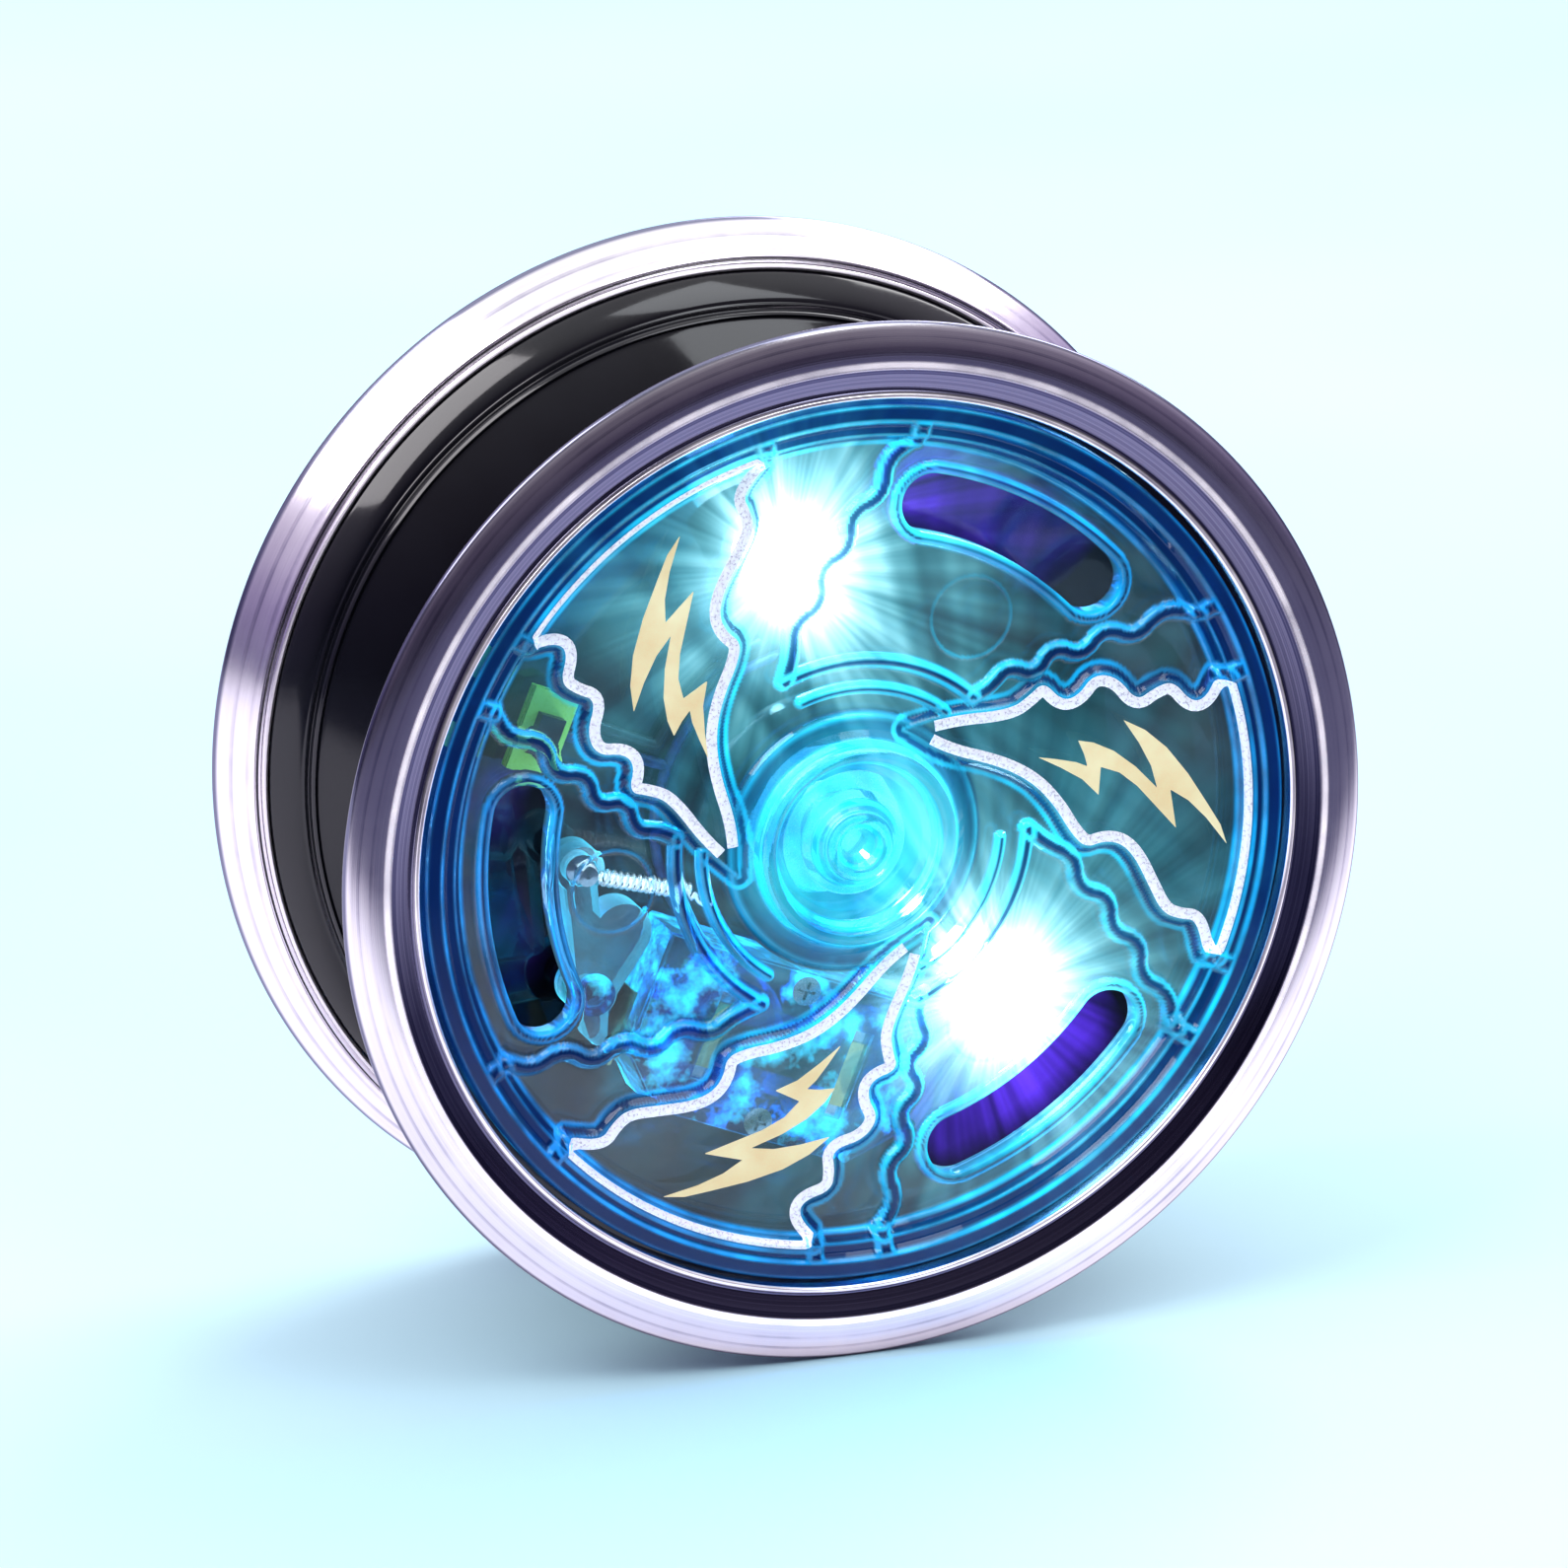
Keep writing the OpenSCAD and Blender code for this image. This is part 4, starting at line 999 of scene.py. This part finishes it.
# outline of the bolt on a blade, in a sector's own frame
BOLT = ((10.1, 4.3), (11.2, 4.15), (12.3, 3.95), (12.95, 3.7), (12.7, 4.4), (12.3, 5.15), (13.2, 5),
        (14.4, 4.5), (15.7, 3.6), (17.05, 2.35), (16.6, 3.6), (15.8, 4.9), (14.8, 6.2), (16.1, 5.6),
        (17.4, 4.6), (18.75, 3.1), (20, 1.4), (20.85, 0.2), (21.3, -0.9), (20, 0.6), (18.9, 1.6),
        (17.8, 2.25), (18, 1.4), (18.3, 0.1), (17.2, 1.2), (15.9, 2.5), (14.8, 3.3), (13.7, 3.65),
        (13.7, 2.9), (13.7, 2.1), (12.7, 3), (11.4, 3.7))
BOLT_SHIFT = ((0, 0), (-1.1, -0.3), (0.1, 0.5))


def bolt_mesh():
    """A gold lightning bolt on each blade."""
    shape = Shape()
    for angle, shift in zip(SECTOR_TURN, BOLT_SHIFT):
        outline = turn(np.array(rounded(BOLT, 0.06, 2, 60)) + shift, angle)
        top = PLATE_Z + BLADE_H
        shape.slab(outline, top - 0.02, top + FOIL_THICK)
    return shape.mesh("bolts")


# ---- lamps, wires and springs

def lamp_shape(place):
    x, y = polar(*place)
    top = LAMP_Z + 2.45
    dome = rounded([(0, LAMP_Z), (LAMP_R + 0.2, LAMP_Z), (LAMP_R + 0.2, LAMP_Z + 0.6),
                    (LAMP_R, LAMP_Z + 0.6)], 0.08) + arc((0, top), LAMP_R, 0, 90, 16)
    shape = Shape().lathe(dome, 64, (x, y), closed=False)
    for s in (-1, 1):
        leg = np.array([x, y]) + turn([(0, s * LAMP_LEG)], place[0])[0]
        shape.tube([(*leg, WIRE_Z), (*leg, (WIRE_Z + LAMP_Z) / 2), (*leg, LAMP_Z + 0.05)], 0.22, 10)
    return shape


def wire_route(place, side, radius, stop):
    leg = math.degrees(math.asin(side * LAMP_LEG / radius))
    start = polar(*place) + polar(place[0] + 90, side * LAMP_LEG)
    return np.vstack([start, arc((0, 0), radius, place[0] + leg, stop, 40)])


def module_angle(radius, side):
    """Angle at which a circle round the axle meets the module's inner side."""
    reach = -(np.array(MODULE_POS) @ polar(MODULE_TURN + 90, 1)) - MODULE_DEPTH / 2
    return 270 + MODULE_TURN + side * math.degrees(math.acos((reach - 0.45) / radius))


def wire_shape(routes):
    shape = Shape()
    for route in routes:
        route = softened(route, 2)
        shape.tube(np.column_stack([route, np.full(len(route), WIRE_Z)]), WIRE_R, 14)
    return shape


def positive_wires():
    r = POSITIVE_R
    branch = np.array([polar(BOARD[0], r), polar(BOARD[0], (r + BOARD_WIRE_R) / 2),
                       polar(BOARD[0], BOARD_WIRE_R)])
    return wire_shape([wire_route(LAMPS["upper"], -1, r, module_angle(r, -1)),
                       wire_route(LAMPS["lower"], 1, r, module_angle(r, 1)), branch])


def negative_wires():
    r = NEGATIVE_R
    stop = BOARD[0] - 5
    upper = np.vstack([wire_route(LAMPS["upper"], 1, r, stop), polar(stop + 1, BOARD_WIRE_R)])
    return wire_shape([upper, wire_route(LAMPS["lower"], -1, r, module_angle(r, 1))])


def spring_path():
    """A hook round the arm's peg, a close helix and a hook round the post."""
    start = np.array([*ARM_TIP, SPRING_Z])
    end = np.array([*SPRING_POST, SPRING_Z])
    run = np.linalg.norm(end - start)
    ahead = (end - start) / run
    left = np.array([-ahead[1], ahead[0], 0])
    up = np.array([0, 0, 1])
    hook_r, coil_r, pitch, gap = 0.57, 0.39, 0.36, 0.72
    coils = int((run - 2 * gap) / pitch)
    lead = (run - coils * pitch) / 2

    def hook(centre, first, last):
        return [centre + hook_r * (math.cos(t) * ahead + math.sin(t) * left)
                for t in np.radians(np.linspace(first, last, 12))]

    points = hook(start, 150, 0)
    for i in range(coils * 14 + 1):
        t = 2 * math.pi * i / 14
        points.append(start + ahead * (lead + pitch * i / 14)
                      + coil_r * (math.cos(t) * up + math.sin(t) * left) * min(1, i / 8))
    return points + hook(end, 180, 330)


# ---- build

# steel-like slots as (dark, light, roughness, scratch scale, painted highlight where the surface faces the
# eye)
STEELS = {
    "axle_steel": ((0.45, 0.46, 0.48), (0.66, 0.67, 0.70), 0.26),
    "bearing_steel": ((0.55, 0.56, 0.58), (0.78, 0.79, 0.81), 0.14),
    "brass": ((0.62, 0.44, 0.17), (0.80, 0.61, 0.28), 0.25),
    "cell_steel": ((0.55, 0.56, 0.57), (0.74, 0.75, 0.77), 0.2),
    "contact_gold": ((0.75, 0.55, 0.22), (0.93, 0.74, 0.36), 0.2),
    "spring_steel": ((0.86, 0.88, 0.90), (0.98, 0.98, 1.0), 0.25, 6000, 0.7),
}
PVC = {
    "chip_black": ((0.01, 0.01, 0.011), (0.03, 0.03, 0.032)),
    "wire_blue": ((0.012, 0.014, 0.05), (0.03, 0.04, 0.14)),
    "wire_black": ((0.01, 0.01, 0.011), (0.03, 0.03, 0.032)),
}
# clear slots as (colour, deep colour, roughness, painted glow in patches, painted glow along the outline)
CLEAR = {
    "module_blue": ((0.05, 0.40, 0.85), (0.005, 0.06, 0.42), 0.06, 1.2, 0.7),
    "arm_clear": ((0.84, 0.96, 1.0), (0.66, 0.88, 0.96), 0.04, 0.08, 2.0),
}
MATERIALS = {"dish_black": dish_black(), "rim_metal": rim_metal(), "pad_silicone": rubber(),
             "cap_blue": cap_blue(), "board_green": board_green(), "lamp_epoxy": lamp_glow()}
for maker, kinds in ((steel, STEELS), (pvc, PVC), (clear_plastic, CLEAR)):
    MATERIALS.update((name, maker(name, *values)) for name, values in kinds.items())
FOILS = {"silver": silver_foil(), "gold": gold_foil()}


def dress_cad_nodes():
    """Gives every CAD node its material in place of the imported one."""
    slots = {p["node"]: p["material_slot"] for p in frame["record"]["subparts"]}
    for name, node in frame["nodes"].items():
        for index in range(len(node.material_slots)):
            node.material_slots[index].material = MATERIALS[slots[name]]


def build_halves():
    outer = [("polished_rim", Shape().lathe(rim_profile(), 288).mesh("rim", 24), "rim_metal", "rim_ring"),
             ("gloss_dish", dish_shape().mesh("dish", 24), "dish_black", "dish"),
             ("swirl_cap", cap_mesh(), "cap_blue", "cap")]
    foils = [("blade_foil", foil_mesh(), FOILS["silver"]), ("bolt_foil", bolt_mesh(), FOILS["gold"])]
    inner = [(f"{key}_lamp_lit", lamp_shape(place).mesh(f"{key}_lamp"), "lamp_epoxy", f"{key}_lamp")
             for key, place in LAMPS.items()]
    inner += [("positive_leads", positive_wires().mesh("positive"), "wire_blue", "positive_wires"),
              ("negative_leads", negative_wires().mesh("negative"), "wire_black", "negative_wires")]
    spring = Shape().tube(spring_path(), 0.12, 10)

    def place_all(pieces, side):
        for name, mesh, slot, node in pieces:
            place_piece(name, mesh, MATERIALS[slot], side, [node])

    for side in SIDES:
        place_all(outer, side)
        for name, mesh, foil in foils:
            place_piece(name, mesh, foil, side)
        place_all(inner, side)
        coil = place_piece("coil_spring", spring.mesh(f"{side}_spring"), MATERIALS["spring_steel"],
                           side, ["switch_spring"], body=None)
        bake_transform(coil)


# ---- stage, lights and camera

AZIMUTH, ELEVATION = -19.9, 17.5
CAMERA_AWAY = 0.6
FRAME_WIDTH = 0.084


def back_vector(azimuth, elevation):
    a, e = math.radians(azimuth), math.radians(elevation)
    return Vector((math.sin(a) * math.cos(e), -math.cos(a) * math.cos(e), math.sin(e)))


def make_camera():
    data = bpy.data.cameras.new("camera")
    data.sensor_width = 36
    data.lens = data.sensor_width * CAMERA_AWAY / FRAME_WIDTH
    camera = bpy.data.objects.new("camera", data)
    scene.collection.objects.link(camera)
    back = back_vector(AZIMUTH, ELEVATION)
    camera.location = (cad_box[0] + cad_box[1]) / 2 + back * CAMERA_AWAY
    camera.rotation_euler = (-back).to_track_quat("-Z", "Y").to_euler()
    scene.camera = camera


def make_floor():
    """A pale floor; in reflections it is warmer, and dark on the side of the camera."""
    n = Nodes("floor_paint")
    soft = n.noise(6, 3, 0.5)
    pale = n.ramp(soft, (0.3, (0.44, 0.73, 0.83)), (0.7, (0.54, 0.78, 0.86)))
    front = n.plus(n.axis(n.where(), "Y"), n.times(n.axis(n.where(), "X"), -0.35))
    glossy = n.add("ShaderNodeLightPath").outputs["Is Glossy Ray"]
    dark = n.times(glossy, n.span(front, -0.095, -0.055, 0.96, 0.0))
    warm = n.mix(n.times(glossy, 0.75), pale, rgb(0.84, 0.74, 0.80))
    n.principled({"Base Color": n.mix(dark, warm, rgb(0.02, 0.02, 0.07)), "Roughness": 0.55})
    low = cad_box[0].z / MM
    shape = Shape().lathe([(0, low), (400, low), (4000, low)], 96, closed=False)
    floor = bpy.data.objects.new("floor", shape.mesh("floor"))
    floor.data.materials.append(n.material)
    scene.collection.objects.link(floor)


def add_light(name, kind, power, colour):
    data = bpy.data.lights.new(name, kind)
    data.energy = power
    data.color = colour
    lamp = bpy.data.objects.new(name, data)
    scene.collection.objects.link(lamp)
    return lamp


def area_light(name, azimuth, elevation, away, size, power, colour=(1, 1, 1)):
    lamp = add_light(name, "AREA", power, colour)
    lamp.data.shape = "RECTANGLE"
    lamp.data.size, lamp.data.size_y = size
    back = back_vector(azimuth, elevation)
    lamp.location = back * away
    lamp.rotation_euler = (-back).to_track_quat("-Z", "Y").to_euler()


def inner_light(name, side, x, y, z, power, colour):
    """A small light inside one half, at a place in that half's own millimetres."""
    lamp = add_light(name, "POINT", power, colour)
    lamp.data.shadow_soft_size = 1.2 * MM
    lamp.visible_glossy = lamp.visible_transmission = False
    lamp.location = HALF[side] @ (Vector((x, y, z)) * MM)


def make_lights():
    area_light("key", -75, 50, 0.7, (0.45, 0.45), 2.5, (1.0, 0.97, 0.99))
    area_light("fill", 30, 60, 0.8, (0.3, 0.5), 1.1, (0.92, 0.96, 1.0))
    area_light("back", 125, 42, 0.8, (0.6, 0.4), 3.0)
    for side in SIDES:
        for key, place in LAMPS.items():
            x, y = polar(place[0], place[1] - 3)
            inner_light(f"{side}_{key}_light", side, x, y, 8.6, 0.004, (0.45, 0.9, 1.0))
        inner_light(f"{side}_switch_light", side, -11.0, 0.6, 9.1, 0.0016, (0.85, 0.97, 1.0))
    make_world()


def make_world():
    """A studio that is bright overhead and behind, and dark purple on the camera's side."""
    world = bpy.data.worlds.new("studio")
    n = Nodes("studio", world)
    way = n.add("ShaderNodeTexCoord").outputs["Generated"]
    sky = n.ramp(n.axis(way, "Z"), (0.0, (0.13, 0.12, 0.21)), (0.2, (0.26, 0.22, 0.36)),
                 (0.45, (0.56, 0.51, 0.64)), (0.88, (0.97, 0.97, 1.0)))
    front = n.span(n.axis(way, "Y"), -0.9, 0.3, 0.26, 1.3)
    background = n.add("ShaderNodeBackground", {"Color": sky, "Strength": front})
    n.tree.links.new(background.outputs[0], n.output.inputs["Surface"])
    scene.world = world
    scene.view_settings.view_transform = "Standard"
    scene.view_settings.look = "Medium High Contrast"


make_camera()
dress_cad_nodes()
build_halves()
make_floor()
make_lights()
